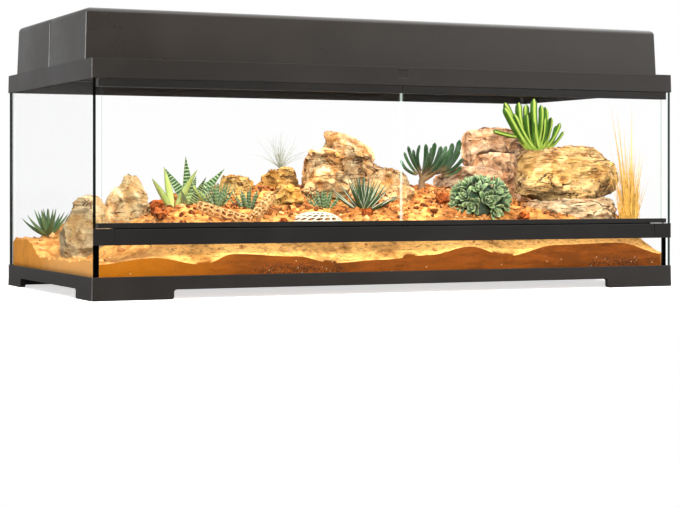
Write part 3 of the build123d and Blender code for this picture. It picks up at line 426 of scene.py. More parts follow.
@dataclass(frozen=True)
class TubeGlass:
    """Phosphor-coated lamp glass between two metal caps."""

    name: str
    cap_from: float

    @cache
    def make(self) -> bpy.types.Material:
        """Builds the material once."""
        made, graph, shader = surface(self.name, Coat_Roughness=0.05)
        out = graph.math("ABSOLUTE", graph.along(Axis.X))
        cap = graph.math("GREATER_THAN", out, self.cap_from)
        scorch = graph.spread(out, self.cap_from - 0.05, self.cap_from, 0.0, 0.5)
        powder = graph.mix(graph.noise(300.0, 2.0), (0.86, 0.87, 0.86), (0.92, 0.92, 0.9))
        glass = graph.mix(scorch, powder, (0.45, 0.42, 0.38))
        graph.feed(shader.inputs["Base Color"], graph.mix(cap, glass, (0.62, 0.63, 0.64)))
        graph.feed(shader.inputs["Metallic"], cap)
        graph.feed(shader.inputs["Roughness"], graph.spread(graph.noise(90.0), 0.3, 0.7, 0.16, 0.3))
        return made


@dataclass(frozen=True)
class Stone:
    """Desert stone: beds, stained patches, pits and dark cracks, with painted highlights on the crests and painted
    shade on faces that look down.

    The mesh gives crack, tone and crest, so the colours follow the broken form.
    """

    name: str
    pale: Colour
    warm: Colour
    stain: Colour
    dark: Colour
    layers: float = 120.0
    stained: float = 0.5
    pitted: float = 0.45
    crest_highlight_share: float = 0.5
    seamed: float = 0.5

    @cache
    def make(self) -> bpy.types.Material:
        """Builds the material once."""
        made, graph, shader = surface(self.name, Specular_IOR_Level=0.25)
        beds = graph.effect(bedding(), Layers=self.layers, Warp=0.02)
        pits = graph.effect(pores(), Scale=170.0, Reach=0.34, Cover=self.pitted)
        cracks = graph.effect(fractures(), Scale=20.0, Width=0.024)
        cloud = graph.noise(26.0, 6.0, 0.6)
        speck = graph.noise(1.0, 6.0, 0.68, graph.scaled(150.0, 150.0, 230.0))
        patch = graph.noise(16.0, 5.0, 0.6, distortion=1.0)
        level = graph.facing(Axis.Z)
        colour = graph.mix(graph.spread(cloud, 0.42, 0.58), self.pale, self.warm)
        colour = graph.mix(graph.math("MULTIPLY", graph.spread(speck, 0.5, 0.62), 0.7), colour, self.stain)
        colour = graph.mix(graph.math("MULTIPLY", graph.spread(speck, 0.46, 0.34), 0.65), colour, self.pale)
        colour = graph.mix(graph.math("MULTIPLY", beds.outputs["Band"], 0.55), colour, self.warm)
        rust = graph.math("MULTIPLY", graph.spread(patch, 0.62 - 0.25 * self.stained, 0.72), 0.8)
        fallen = graph.math("MULTIPLY", graph.spread(level, 0.5, 0.85), graph.spread(graph.noise(48.0, 5.0), 0.42, 0.55))
        rust = graph.math("MAXIMUM", rust, graph.math("MULTIPLY", fallen, 1.5 * self.stained), clamp=True)
        colour = graph.mix(rust, colour, self.stain)
        # Painted highlight: the raised crests are made paler, as if they caught the light.
        crest_highlight = graph.math("MULTIPLY", graph.own("crest"), self.crest_highlight_share)
        colour = graph.mix(crest_highlight, colour, tuple(min(1.0, part * 1.12 + 0.05) for part in self.pale))
        # Painted shade: faces that look down are darkened and faces that look up lightened, as light from above would
        # fall; the mesh's tone and a slow noise vary it at random.
        shade = graph.math("MULTIPLY", graph.spread(graph.own("tone"), 0.0, 1.0, 0.66, 1.4),
                           graph.spread(level, -0.75, 0.35, 0.34, 1.14))
        shade = graph.math("MULTIPLY", shade, graph.spread(graph.noise(11.0, 4.0), 0.36, 0.64, 0.74, 1.16))
        colour = graph.mix(1.0, colour, graph.add("ShaderNodeCombineColor", {0: shade, 1: shade, 2: shade}).outputs[0],
                           "MULTIPLY")
        lines = graph.math("MAXIMUM", graph.math("MULTIPLY", graph.own("crack"), 0.45), cracks.outputs["Mask"])
        lines = graph.math("MAXIMUM", lines, graph.math("MULTIPLY", beds.outputs["Seam"], self.seamed))
        lines = graph.math("MAXIMUM", lines, graph.math("MULTIPLY", pits.outputs["Mask"], 0.95), clamp=True)
        colour = graph.mix(lines, colour, self.dark)
        graph.feed(shader.inputs["Base Color"], colour)
        graph.feed(shader.inputs["Roughness"], graph.spread(cloud, 0.3, 0.7, 0.74, 0.92))
        grit = graph.math("ADD", graph.math("MULTIPLY", speck, 1.6), graph.math("MULTIPLY", beds.outputs["Height"], 0.8))
        grit = graph.math("SUBTRACT", grit, graph.math("MULTIPLY", lines, 0.9))
        graph.feed(shader.inputs["Normal"], graph.relief(grit, 0.0055, 0.9))
        return made


@dataclass(frozen=True)
class Sand:
    """Loose sand: a pale strip in front, gravelly red soil behind it, and a dark face against the pane, darkened as
    painted shade.
    """

    name: str
    pale: Colour
    red: Colour
    shaded_cut: Colour
    side: Colour
    dark: Colour
    strip_from: float
    strip_to: float

    @cache
    def make(self) -> bpy.types.Material:
        """Builds the material once."""
        made, graph, shader = surface(self.name, Specular_IOR_Level=0.2)
        drift = graph.math("MULTIPLY", graph.math("SUBTRACT", graph.noise(22.0, 4.0), 0.5), 0.09)
        back = graph.spread(graph.math("ADD", graph.along(Axis.Y), drift), self.strip_from, self.strip_to)
        cloud = graph.noise(60.0, 6.0, 0.65)
        grains = graph.noise(700.0, 3.0, 0.7)
        crumb = graph.noise(1.0, 5.0, 0.7, graph.scaled(120.0, 220.0, 220.0))
        pale = graph.mix(graph.spread(crumb, 0.47, 0.63), self.pale, tuple(0.42 * part for part in self.pale))
        red = graph.mix(graph.spread(cloud, 0.42, 0.60), self.red, tuple(0.36 * part for part in self.red))
        gold = graph.spread(graph.noise(17.0, 4.0, 0.65), 0.44, 0.58, 0.0, 0.9)
        red = graph.mix(gold, red, graph.mix(graph.spread(cloud, 0.35, 0.65), (0.84, 0.42, 0.11), (0.50, 0.19, 0.04)))
        top = graph.mix(back, pale, red)
        tan = graph.mix(graph.spread(cloud, 0.4, 0.6), (0.80, 0.42, 0.12), (0.48, 0.19, 0.04))
        top = graph.mix(graph.spread(graph.along(Axis.X), -0.30, -0.38), top, tan)
        holes = graph.effect(pores(), Scale=190.0, Reach=0.26, Cover=0.47)
        top = graph.mix(graph.math("MULTIPLY", holes.outputs["Mask"], 0.7), top, self.dark)
        # Painted shade: faces that look to the front, against the pane, take a darker colour than the top of the sand.
        front = graph.spread(graph.facing(Axis.Y), -0.5, -0.85)
        flank = graph.math("MAXIMUM", graph.spread(graph.math("ABSOLUTE", graph.facing(Axis.X)), 0.6, 0.9),
                           graph.spread(graph.facing(Axis.Y), 0.75, 0.95))
        shaded_cut = graph.mix(graph.spread(graph.noise(1.0, 4.0, 0.6, graph.scaled(26.0, 26.0, 120.0)), 0.35, 0.65),
                        self.shaded_cut, tuple(0.62 * part for part in self.shaded_cut))
        side = graph.mix(graph.spread(cloud, 0.35, 0.65), self.side, tuple(0.8 * part for part in self.side))
        side = graph.mix(graph.spread(graph.along(Axis.Y), 0.10, -0.06), side, (0.84, 0.40, 0.10))
        left = graph.spread(graph.along(Axis.X), -0.20, -0.42, 0.0, 0.85)
        shaded_cut = graph.mix(left, shaded_cut, (0.27, 0.085, 0.002))
        colour = graph.mix(front, top, shaded_cut)
        colour = graph.mix(flank, colour, side)
        west = graph.spread(graph.math("ABSOLUTE", graph.math("ADD", graph.along(Axis.X), 0.145)), 0.10, 0.05)
        east = graph.spread(graph.math("ABSOLUTE", graph.math("SUBTRACT", graph.along(Axis.X), 0.37)), 0.09, 0.04)
        low = graph.math("MULTIPLY", graph.spread(graph.along(Axis.Z), 0.050, 0.038), front)
        patch = graph.math("MULTIPLY", graph.math("MAXIMUM", west, east), low)
        patch = graph.math("MULTIPLY", patch, graph.spread(graph.noise(40.0, 3.0), 0.42, 0.52))
        specks = graph.cells(330.0)
        dark = graph.math("MULTIPLY", graph.spread(specks.outputs["Distance"], 0.58, 0.42), patch)
        colour = graph.mix(graph.math("MULTIPLY", dark, 0.85), colour, (0.03, 0.012, 0.006))
        pick = graph.add("ShaderNodeSeparateColor", {0: specks.outputs["Color"]}).outputs[0]
        thick = graph.math("MAXIMUM", graph.math("MULTIPLY", graph.math("GREATER_THAN", pick, 0.90), patch),
                           graph.math("GREATER_THAN", pick, 0.988))
        white = graph.math("MULTIPLY", thick, graph.spread(specks.outputs["Distance"], 0.3, 0.12))
        white = graph.math("MULTIPLY", white, graph.spread(front, 0.0, 1.0, 0.15, 0.8))
        colour = graph.mix(white, colour, (0.85, 0.7, 0.5))
        shade = graph.spread(grains, 0.25, 0.75, 0.78, 1.18)
        tint = graph.add("ShaderNodeCombineColor", {0: shade, 1: shade, 2: shade}).outputs[0]
        graph.feed(shader.inputs["Base Color"], graph.mix(1.0, colour, tint, "MULTIPLY"))
        graph.feed(shader.inputs["Roughness"], graph.spread(grains, 0.2, 0.8, 0.82, 0.96))
        height = graph.math("ADD", graph.math("MULTIPLY", grains, 0.5), cloud)
        height = graph.math("SUBTRACT", height, holes.outputs["Mask"])
        graph.feed(shader.inputs["Normal"], graph.relief(height, 0.0016, 0.7))
        return made


@dataclass(frozen=True)
class Chips:
    """Small broken stones, each of its own tone."""

    name: str
    first: Colour
    second: Colour
    third: Colour

    @cache
    def make(self) -> bpy.types.Material:
        """Builds the material once."""
        made, graph, shader = surface(self.name, Specular_IOR_Level=0.25)
        tone = graph.own("tone")
        colour = graph.mix(graph.spread(tone, 0.15, 0.5), self.first, self.second)
        colour = graph.mix(graph.spread(tone, 0.84, 1.0), colour, self.third)
        fore = graph.math("MAXIMUM", graph.spread(graph.along(Axis.Y), -0.13, -0.165),
                          graph.spread(graph.along(Axis.X), -0.30, -0.35))
        colour = graph.mix(graph.math("MULTIPLY", fore, 0.85), colour, graph.mix(tone, (0.50, 0.24, 0.07), self.third))
        rough = graph.noise(520.0, 4.0, 0.7)
        colour = graph.mix(graph.spread(rough, 0.5, 0.8, 0.0, 0.45), colour, tuple(0.4 * part for part in self.first))
        graph.feed(shader.inputs["Base Color"], colour)
        graph.feed(shader.inputs["Roughness"], graph.spread(rough, 0.3, 0.7, 0.72, 0.92))
        graph.feed(shader.inputs["Normal"], graph.relief(rough, 0.0008))
        return made


@dataclass(frozen=True)
class Leaf:
    """Succulent skin: a body colour that changes along the leaf, a pale edge band, bands and bloom.

    The mesh gives along (foot to tip), across (midline to edge), under (lower face) and tone. On some leaves the edge
    band is a painted highlight and the lower face a painted shade.
    """

    name: str
    body: Colour
    foot: Colour
    tip: Colour
    margin_and_highlight: Colour
    underside_and_shade: Colour
    margin_from: float = 0.85
    margin_share: float = 0.6
    tip_from: float = 0.85
    bands: float = 0.0
    band_colour: Colour = WHITE
    bloom: float = 0.04
    roughness: float = 0.42
    spread_tone: float = 0.35

    @cache
    def make(self) -> bpy.types.Material:
        """Builds the material once."""
        made, graph, shader = surface(self.name, Specular_IOR_Level=0.14, Subsurface_Weight=0.08,
                                      Subsurface_Radius=(0.3, 0.6, 0.1), Subsurface_Scale=0.002)
        along, across, tone = graph.own("along"), graph.own("across"), graph.own("tone")
        colour = graph.mix(graph.spread(along, 0.0, 0.35), self.foot, self.body)
        colour = graph.mix(graph.spread(along, self.tip_from, 1.0), colour, self.tip)
        # The lower face's colour: the real underside on some leaves, a darker painted shade on others.
        colour = graph.mix(graph.math("MULTIPLY", graph.own("under"), 0.75), colour, self.underside_and_shade)
        fibre = graph.noise(1.0, 4.0, 0.6, graph.scaled(260.0, 260.0, 60.0))
        shade = graph.spread(tone, 0.0, 1.0, 1.0 - self.spread_tone, 1.0 + self.spread_tone)
        shade = graph.math("MULTIPLY", shade, graph.spread(fibre, 0.3, 0.7, 0.88, 1.1))
        tint = graph.add("ShaderNodeCombineColor", {0: shade, 1: shade, 2: shade}).outputs[0]
        colour = graph.mix(1.0, colour, tint, "MULTIPLY")
        if self.bands:
            wave = graph.math("SINE", graph.math("ADD", graph.math("MULTIPLY", along, self.bands), graph.math(
                "MULTIPLY", graph.noise(420.0, 3.0), 3.2)))
            band = graph.math("MULTIPLY", graph.spread(wave, 0.55, 0.85), graph.spread(fibre, 0.3, 0.5, 0.5, 1.0))
            colour = graph.mix(graph.math("MULTIPLY", band, 0.85), colour, self.band_colour)
        # The outer band across the width: a real pale margin on some leaves, a painted highlight rim on the fingers.
        rim = graph.math("MULTIPLY", graph.spread(across, self.margin_from, 1.0), self.margin_share)
        colour = graph.mix(rim, colour, self.margin_and_highlight)
        powder = graph.math("MULTIPLY", graph.spread(graph.noise(70.0, 4.0), 0.35, 0.7), self.bloom)
        colour = graph.mix(powder, colour, (0.62, 0.7, 0.66))
        graph.feed(shader.inputs["Base Color"], colour)
        graph.feed(shader.inputs["Roughness"], graph.spread(fibre, 0.3, 0.7, self.roughness - 0.06, self.roughness + 0.12))
        graph.feed(shader.inputs["Normal"], graph.relief(fibre, 0.0003))
        return made


@dataclass(frozen=True)
class Dried:
    """Dead stalks and wood: streaks along the grain with weathered and dark patches."""

    name: str
    pale: Colour
    warm: Colour
    dark: Colour
    stretch: Point = (60.0, 60.0, 900.0)

    @cache
    def make(self) -> bpy.types.Material:
        """Builds the material once."""
        made, graph, shader = surface(self.name, Specular_IOR_Level=0.25)
        streak = graph.noise(1.0, 5.0, 0.65, graph.scaled(*self.stretch))
        patch = graph.noise(60.0, 4.0, 0.6)
        colour = graph.mix(graph.spread(streak, 0.35, 0.65), self.pale, self.warm)
        colour = graph.mix(graph.spread(patch, 0.52, 0.75, 0.0, 0.75), colour, self.dark)
        shade = graph.spread(graph.own("tone"), 0.0, 1.0, 0.75, 1.2)
        tint = graph.add("ShaderNodeCombineColor", {0: shade, 1: shade, 2: shade}).outputs[0]
        graph.feed(shader.inputs["Base Color"], graph.mix(1.0, colour, tint, "MULTIPLY"))
        graph.feed(shader.inputs["Roughness"], graph.spread(streak, 0.3, 0.7, 0.68, 0.9))
        graph.feed(shader.inputs["Normal"], graph.relief(streak, 0.0005))
        return made


@dataclass(frozen=True)
class Bisque:
    """Unglazed pale ceramic with tiny pinholes and soil in its hollows; its inner face is painted near black as shade.
    """

    name: str
    colour: Colour
    soil: Colour
    centre: Point
    radii: Point

    @cache
    def make(self) -> bpy.types.Material:
        """Builds the material once."""
        made, graph, shader = surface(self.name, Specular_IOR_Level=0.35)
        out = graph.vector_math("MULTIPLY", graph.vector_math("SUBTRACT", graph.place(), self.centre),
                                tuple(1 / part for part in self.radii))
        reach = graph.add("ShaderNodeVectorMath", {0: out}, operation="LENGTH").outputs["Value"]
        # Painted shade: the dome's inner face is made nearly black.
        inner_shade = graph.spread(reach, 0.972, 0.945)
        pin = graph.effect(pores(), Scale=700.0, Reach=0.2, Cover=0.5)
        low = graph.spread(graph.along(Axis.Z), 0.112, 0.09)
        grime = graph.math("MULTIPLY", low, graph.spread(graph.noise(80.0, 5.0, 0.65), 0.4, 0.7))
        colour = graph.mix(graph.noise(120.0, 4.0), self.colour, tuple(0.86 * part for part in self.colour))
        colour = graph.mix(graph.math("MULTIPLY", grime, 0.7), colour, self.soil)
        colour = graph.mix(graph.math("MULTIPLY", pin.outputs["Mask"], 0.4), colour, self.soil)
        colour = graph.mix(inner_shade, colour, (0.02, 0.01, 0.005))
        graph.feed(shader.inputs["Base Color"], colour)
        graph.feed(shader.inputs["Roughness"], graph.spread(graph.noise(40.0), 0.3, 0.7, 0.5, 0.68))
        graph.feed(shader.inputs["Normal"], graph.relief(graph.noise(600.0, 3.0), 0.0003))
        return made


class Finish(Enum):
    """Every finish of the terrarium's own pieces."""

    FRAME = Plastic("frame_plastic_look", (0.0122, 0.0100, 0.0085), (0.0145, 0.0130, 0.0118), 0.34, gloss=0.42)
    BAR = Plastic("bar_plastic_look", (0.0085, 0.0078, 0.0073), (0.011, 0.0103, 0.0097), 0.31, gloss=0.3)
    HOOD = Plastic("hood_plastic_look", (0.0155, 0.0127, 0.0106), (0.0175, 0.0146, 0.0124), 0.30, 1300.0)
    SCREEN = Plastic("screen_plastic_look", (0.012, 0.012, 0.012), (0.018, 0.018, 0.018), 0.5)
    GATE = Plastic("gate_plastic_look", (0.026, 0.024, 0.023), (0.045, 0.042, 0.04), 0.38)
    ROCKER = Plastic("rocker_plastic_look", (0.012, 0.012, 0.012), (0.05, 0.05, 0.05), 0.28)
    HOLDER = Plastic("holder_plastic_look", (0.72, 0.71, 0.67), (0.6, 0.56, 0.48), 0.4)
    # Painted shade: the left pane is a darker-tinted, heavier-filmed copy of the side pane glass, for the dimmer view
    # through a pane seen at a slant.
    LEFT_PANE_SHADED = Pane("left_pane_glass_shaded", Axis.X, (0.0004, 0.0006, 0.0005), 0.34, (0.88, 0.885, 0.885))
    SIDE_PANE = Pane("side_pane_glass", Axis.X, (0.0008, 0.0030, 0.0018))
    BACK_PANE = Pane("back_pane_glass", Axis.Y, (0.0008, 0.0022, 0.0016))
    FRONT_PANE = Pane("front_pane_glass", Axis.Y, (0.0002, 0.0003, 0.0002), seam_from=0.4378)
    # The door panes' pale green edge colour also glows at their meeting edges as a painted highlight.
    DOOR_PANE = Pane("door_pane_glass", Axis.Y, (0.60, 0.72, 0.65), painted_glow_within=0.0024)
    FLOOR_PANE = Pane("floor_pane_glass", Axis.Z, (0.0008, 0.003, 0.002))
    SILICONE = Rubber("silicone_seam", (0.004, 0.004, 0.004), 0.35, 0.19)
    GROMMET = Rubber("grommet_rubber_look", (0.014, 0.014, 0.014), 0.55)
    STEEL = Metal("steel_pin_look", (0.56, 0.55, 0.53), 0.3, Axis.Z)
    NET = Metal("steel_net_look", (0.1, 0.1, 0.1), 0.42)
    REFLECTOR = Metal("reflector_look", (0.83, 0.84, 0.85), 0.2)
    BALLAST = Metal("ballast_look", (0.62, 0.63, 0.64), 0.4)
    LAMP = TubeGlass("lamp_tube_look", 0.4105)

    def make(self) -> bpy.types.Material:
        """The finish's material."""
        return self.value.make()


# --------------------------------------------------------- meshes and their pieces
def dress(node: str, finish: Finish) -> None:
    """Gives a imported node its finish, and smooth shading between its shallow facets."""
    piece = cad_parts[node]
    made = finish.make()
    piece.data.polygons.foreach_set("use_smooth", [True] * len(piece.data.polygons))
    joined = piece.modifiers.new("joined", "WELD")
    joined.merge_threshold = 0.00001
    split = piece.modifiers.new("sharp edges", "EDGE_SPLIT")
    split.split_angle = math.radians(32)
    if not piece.material_slots:
        piece.data.materials.append(made)
    for slot in piece.material_slots:
        slot.material = made
    log.info("dressed %s with %s", node, made.name)


def finish_piece(name: str, bm: bmesh.types.BMesh, look: bpy.types.Material,
                 nodes: Sequence[str], body: str = "tank", smooth: bool = True) -> bpy.types.Object:
    """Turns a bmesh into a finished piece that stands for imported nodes.

    Args:
        name: The piece's name.
        bm: The mesh in progress, which is freed.
        look: The piece's material.
        nodes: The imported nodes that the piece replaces.
        body: The body that carries the piece.
        smooth: Whether the faces are shaded smooth.

    Returns:
        The piece.
    """
    for face in bm.faces:
        face.smooth = smooth
    mesh = bpy.data.meshes.new(name)
    bm.to_mesh(mesh)
    bm.free()
    mesh.materials.append(look)
    piece = bpy.data.objects.new(name, mesh)
    bpy.context.scene.collection.objects.link(piece)
    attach(piece, body)
    if nodes:
        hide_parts(*nodes)
    log.info("built %s with %d faces", name, len(mesh.polygons))
    return piece


def applied(piece: bpy.types.Object) -> None:
    """Bakes a piece's modifiers into its mesh."""
    graph = bpy.context.evaluated_depsgraph_get()
    solid = bpy.data.meshes.new_from_object(piece.evaluated_get(graph))
    piece.modifiers.clear()
    piece.data = solid


# ------------------------------------------------------------- the tank's housing
@dataclass
class Housing:
    """Base, top frame, rail, bar, caps, profiles, gates, pins and beads, as packed."""

    frame_nodes: tuple[str, ...] = ("base_frame", "top_frame")
    bar_nodes: tuple[str, ...] = ("lock_bar", "left_end_cap", "right_end_cap", "front_rail")
    pins: tuple[str, ...] = ("lock_bar_pins", "left_door_pins", "right_door_pins")

    def build(self) -> None:
        """Dresses every node of the housing."""
        for node in self.frame_nodes:
            dress(node, Finish.FRAME)
        for node in self.bar_nodes:
            dress(node, Finish.BAR)
        for side in ("left", "right"):
            dress(f"{side}_door_top_profile", Finish.BAR)
            dress(f"{side}_door_bottom_profile", Finish.BAR)
            dress(f"{side}_inlet_gate", Finish.GATE)
        for node in self.pins:
            dress(node, Finish.STEEL)
        dress("silicone_seams", Finish.SILICONE)


@dataclass
class Glazing:
    """The five glued panes and the two door panes."""

    def build(self) -> None:
        """Dresses every pane."""
        dress("left_glass", Finish.LEFT_PANE_SHADED)
        dress("right_glass", Finish.SIDE_PANE)
        for side in ("left", "right"):
            dress(f"{side}_door_glass", Finish.DOOR_PANE)
        dress("back_glass", Finish.BACK_PANE)
        dress("front_lower_glass", Finish.FRONT_PANE)
        dress("bottom_glass", Finish.FLOOR_PANE)


@dataclass
class LampHood:
    """One lamp hood with its reflector, tube, holders, ballast, rocker and grommet."""

    name: str

    def build(self) -> None:
        """Dresses the hood's nodes."""
        looks = {"shell": Finish.HOOD, "rocker": Finish.ROCKER, "cable_grommet": Finish.GROMMET,
                 "reflector": Finish.REFLECTOR, "lamp_holders": Finish.HOLDER, "lamp": Finish.LAMP,
                 "ballast": Finish.BALLAST}
        for part, finish in looks.items():
            dress(f"{self.name}_{part}", finish)


@dataclass
class ScreenTop:
    """The lift-out screen: its frame as packed, its nets woven fine."""

    wire: float = 0.0006
    pitch: float = 0.0035

    def build(self) -> None:
        """Dresses the frame and weaves both nets."""
        dress("screen_frame", Finish.SCREEN)
        low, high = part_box("screen_mesh")
        middle = 0.5 * (low.x + high.x)
        bm = bmesh.new()
        half = 0.5 * (self._window_gap(low, high))
        for start, end in ((low.x, middle - half), (middle + half, high.x)):
            self._weave(bm, Vector((start, low.y, low.z)), Vector((end, high.y, high.z)))
        finish_piece("screen_nets", bm, Finish.NET.make(), ["screen_mesh"], "screen", False)

    def _window_gap(self, low: Vector, high: Vector) -> float:
        """The width of the bar between the two nets."""
        xs = sorted({round(v.co.x, 4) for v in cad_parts["screen_mesh"].data.vertices})
        inner = [b - a for a, b in zip(xs, xs[1:]) if a < 0.5 * (low.x + high.x) <= b]
        return inner[0] if inner else 0.0

    def _weave(self, bm: bmesh.types.BMesh, low: Vector, high: Vector) -> None:
        """Lays one net's wires, those along Y on those along X."""
        for axis, level in ((Axis.X, low.z + self.wire / 2), (Axis.Y, high.z - self.wire / 2)):
            other = Axis.Y if axis is Axis.X else Axis.X
            span = high[other.value] - low[other.value]
            count = int(span / self.pitch)
            for k in range(count):
                size = Vector((self.wire, self.wire, self.wire))
                size[axis.value] = high[axis.value] - low[axis.value]
                centre = 0.5 * (low + high)
                centre.z = level
                centre[other.value] = low[other.value] + (k + 0.5) * span / count
                bmesh.ops.create_cube(bm, size=1.0, matrix=Matrix.Translation(centre) @ Matrix.Diagonal((*size, 1.0)))


# ------------------------------------------------------------------- landscape
def climb(distance: float, reach: float) -> float:
    """A bank's share of its full height, from 0 at its foot to 1 at its crest."""
    return math.sin(math.pi / 2 * min(max(distance / reach, 0.0), 1.0))


@dataclass(frozen=True)
class Ground:
    """The sand's surface: banked up to the rear, with a wavy line against the front pane."""

    inner_x: float = 0.4433
    front: float = -0.2138
    back: float = 0.2183
    floor: float = 0.0208
    edge: float = 0.048
    rise: float = 0.072
    front_line: tuple[tuple[float, float], ...] = (
        (-0.4433, 0.047), (-0.361, 0.055), (-0.292, 0.045), (-0.249, 0.0585), (-0.159, 0.054),
        (-0.1, 0.0437), (-0.03, 0.0470), (0.048, 0.0525), (0.112, 0.0636), (0.174, 0.049),
        (0.254, 0.064), (0.361, 0.066), (0.4433, 0.048))

    def height(self, x: float, y: float) -> float:
        """The sand's height above the table at a place."""
        front = climb(y - self.front, 0.14)
        left = climb(x + 0.405, 0.15)
        right = climb(self.inner_x - x, 0.035)
        waves = 0.008 * math.cos(x / 0.024) * (1 - front)
        ridge = 0.028 * climb(y + 0.04, 0.1) * climb(x + 0.23, 0.1) * climb(0.33 - x, 0.08)
        corner = 0.022 * climb(y - 0.07, 0.06) * climb(-x - 0.33, 0.08)
        banked = self.edge + waves + self.rise * front * left * right + ridge + corner
        nearness = 1 - climb(y - self.front, 0.05)
        return banked + (self._line(x) - self.edge - 0.008 * math.cos(x / 0.024)) * nearness

    def _line(self, x: float) -> float:
        """The height of the sand against the front pane."""
        for (x0, z0), (x1, z1) in zip(self.front_line, self.front_line[1:]):
            if x <= x1:
                share = max(0.0, (x - x0) / (x1 - x0))
                return z0 + (z1 - z0) * (0.5 - 0.5 * math.cos(math.pi * share))
        return self.front_line[-1][1]


GROUND = Ground()


@dataclass
class SandBed:
    """The sand itself and the chips of stone that lie on it."""

    columns: int = 240
    rows: int = 116
    chip_count: int = 5200
    batch: int = 200
    # The third colour is the face against the pane, kept dark as painted shade.
    look: Sand = Sand("sand_look", (0.96, 0.50, 0.135), (0.41, 0.135, 0.028), (0.170, 0.043, 0.004),
                      (0.80, 0.31, 0.025), (0.07, 0.02, 0.007), -0.172, -0.125)
    chips: Chips = Chips("chip_look", (0.12, 0.035, 0.010), (0.47, 0.175, 0.042), (0.84, 0.52, 0.22))

    def build(self) -> None:
        """Builds the sand and scatters the chips."""
        bm = bmesh.new()
        bmesh.ops.create_grid(bm, x_segments=self.columns, y_segments=self.rows, size=1.0)
        for vert in bm.verts:
            x = vert.co.x * GROUND.inner_x
            y = GROUND.front + (vert.co.y + 1) / 2 * (GROUND.back - GROUND.front)
            x = math.copysign(min(abs(x), GROUND.inner_x - max(0.0, GROUND.front + 0.007 - y)), x)
            vert.co = Vector((x, y, GROUND.height(x, y) + self._roughness(x, y)))
        rim = [edge for edge in bm.edges if edge.is_boundary]
        skirt = bmesh.ops.extrude_edge_only(bm, edges=rim)["geom"]
        for vert in (item for item in skirt if isinstance(item, bmesh.types.BMVert)):
            vert.co.z = GROUND.floor
        bmesh.ops.holes_fill(bm, edges=[edge for edge in bm.edges if edge.is_boundary], sides=0)
        bmesh.ops.recalc_face_normals(bm, faces=bm.faces)
        for edge in bm.edges:
            if len(edge.link_faces) == 2 and edge.calc_face_angle(0.0) > math.radians(45):
                edge.smooth = False
        finish_piece("sand", bm, self.look.make(), ["sand_bed"])
        self._scatter()

    def _roughness(self, x: float, y: float) -> float:
        """The small lumps and hollows of loose sand."""
        away = min(1.0, (y - GROUND.front) / 0.004)
        lumps = noise.fractal(Vector((x * 60, y * 60, 0.3)), 0.8, 2.0, 4)
        fine = noise.noise(Vector((x * 380, y * 380, 2.1)))
        back = climb(y + 0.17, 0.06)
        return away * ((0.0018 + 0.0022 * back) * lumps + 0.0005 * fine)

    def _scatter(self) -> None:
        """Scatters broken chips, thick in the red soil and sparse on the pale strip."""
        draw = random.Random(11)
        whole = bmesh.new()
        for _ in range(self.chip_count // self.batch):
            bm = bmesh.new()
            tone = bm.verts.layers.float.new("tone")
            for _ in range(self.batch):
                x, y = self._spot(draw)
                size = draw.uniform(0.0013, 0.0030) * (1 + 1.2 * draw.random() ** 6)
                self._chip(bm, tone, draw, Vector((x, y, GROUND.height(x, y) + 0.3 * size)), size)
            part = bpy.data.meshes.new("chips")
            bm.to_mesh(part)
            bm.free()
            whole.from_mesh(part)
            bpy.data.meshes.remove(part)
        finish_piece("sand_chips", whole, self.chips.make(), [], smooth=False)

    def _spot(self, draw: random.Random) -> tuple[float, float]:
        """Draws a place for a chip, most often in the red soil."""
        while True:
            x, y = draw.uniform(-0.435, 0.435), draw.uniform(-0.206, 0.21)
            if draw.random() < (0.10 + 0.90 * climb(y + 0.170, 0.045)) * (0.15 + 0.85 * climb(x + 0.34, 0.06)):
                return x, y

    def _chip(self, bm: bmesh.types.BMesh, tone: object, draw: random.Random, centre: Vector, size: float) -> None:
        """Adds one squashed, knocked chip."""
        turn = Matrix.Rotation(draw.uniform(0, math.tau), 4, Vector((draw.random(), draw.random(), 1)).normalized())
        flat = Matrix.Diagonal((size * draw.uniform(0.8, 1.5), size * draw.uniform(0.7, 1.1), size * 0.65, 1.0))
        made = bmesh.ops.create_icosphere(bm, subdivisions=1, radius=1.0,
                                          matrix=Matrix.Translation(centre) @ turn @ flat)["verts"]
        value = draw.random()
        for vert in made:
            vert.co += 0.25 * size * Vector((draw.uniform(-1, 1), draw.uniform(-1, 1), draw.uniform(-1, 1)))
            vert[tone] = value


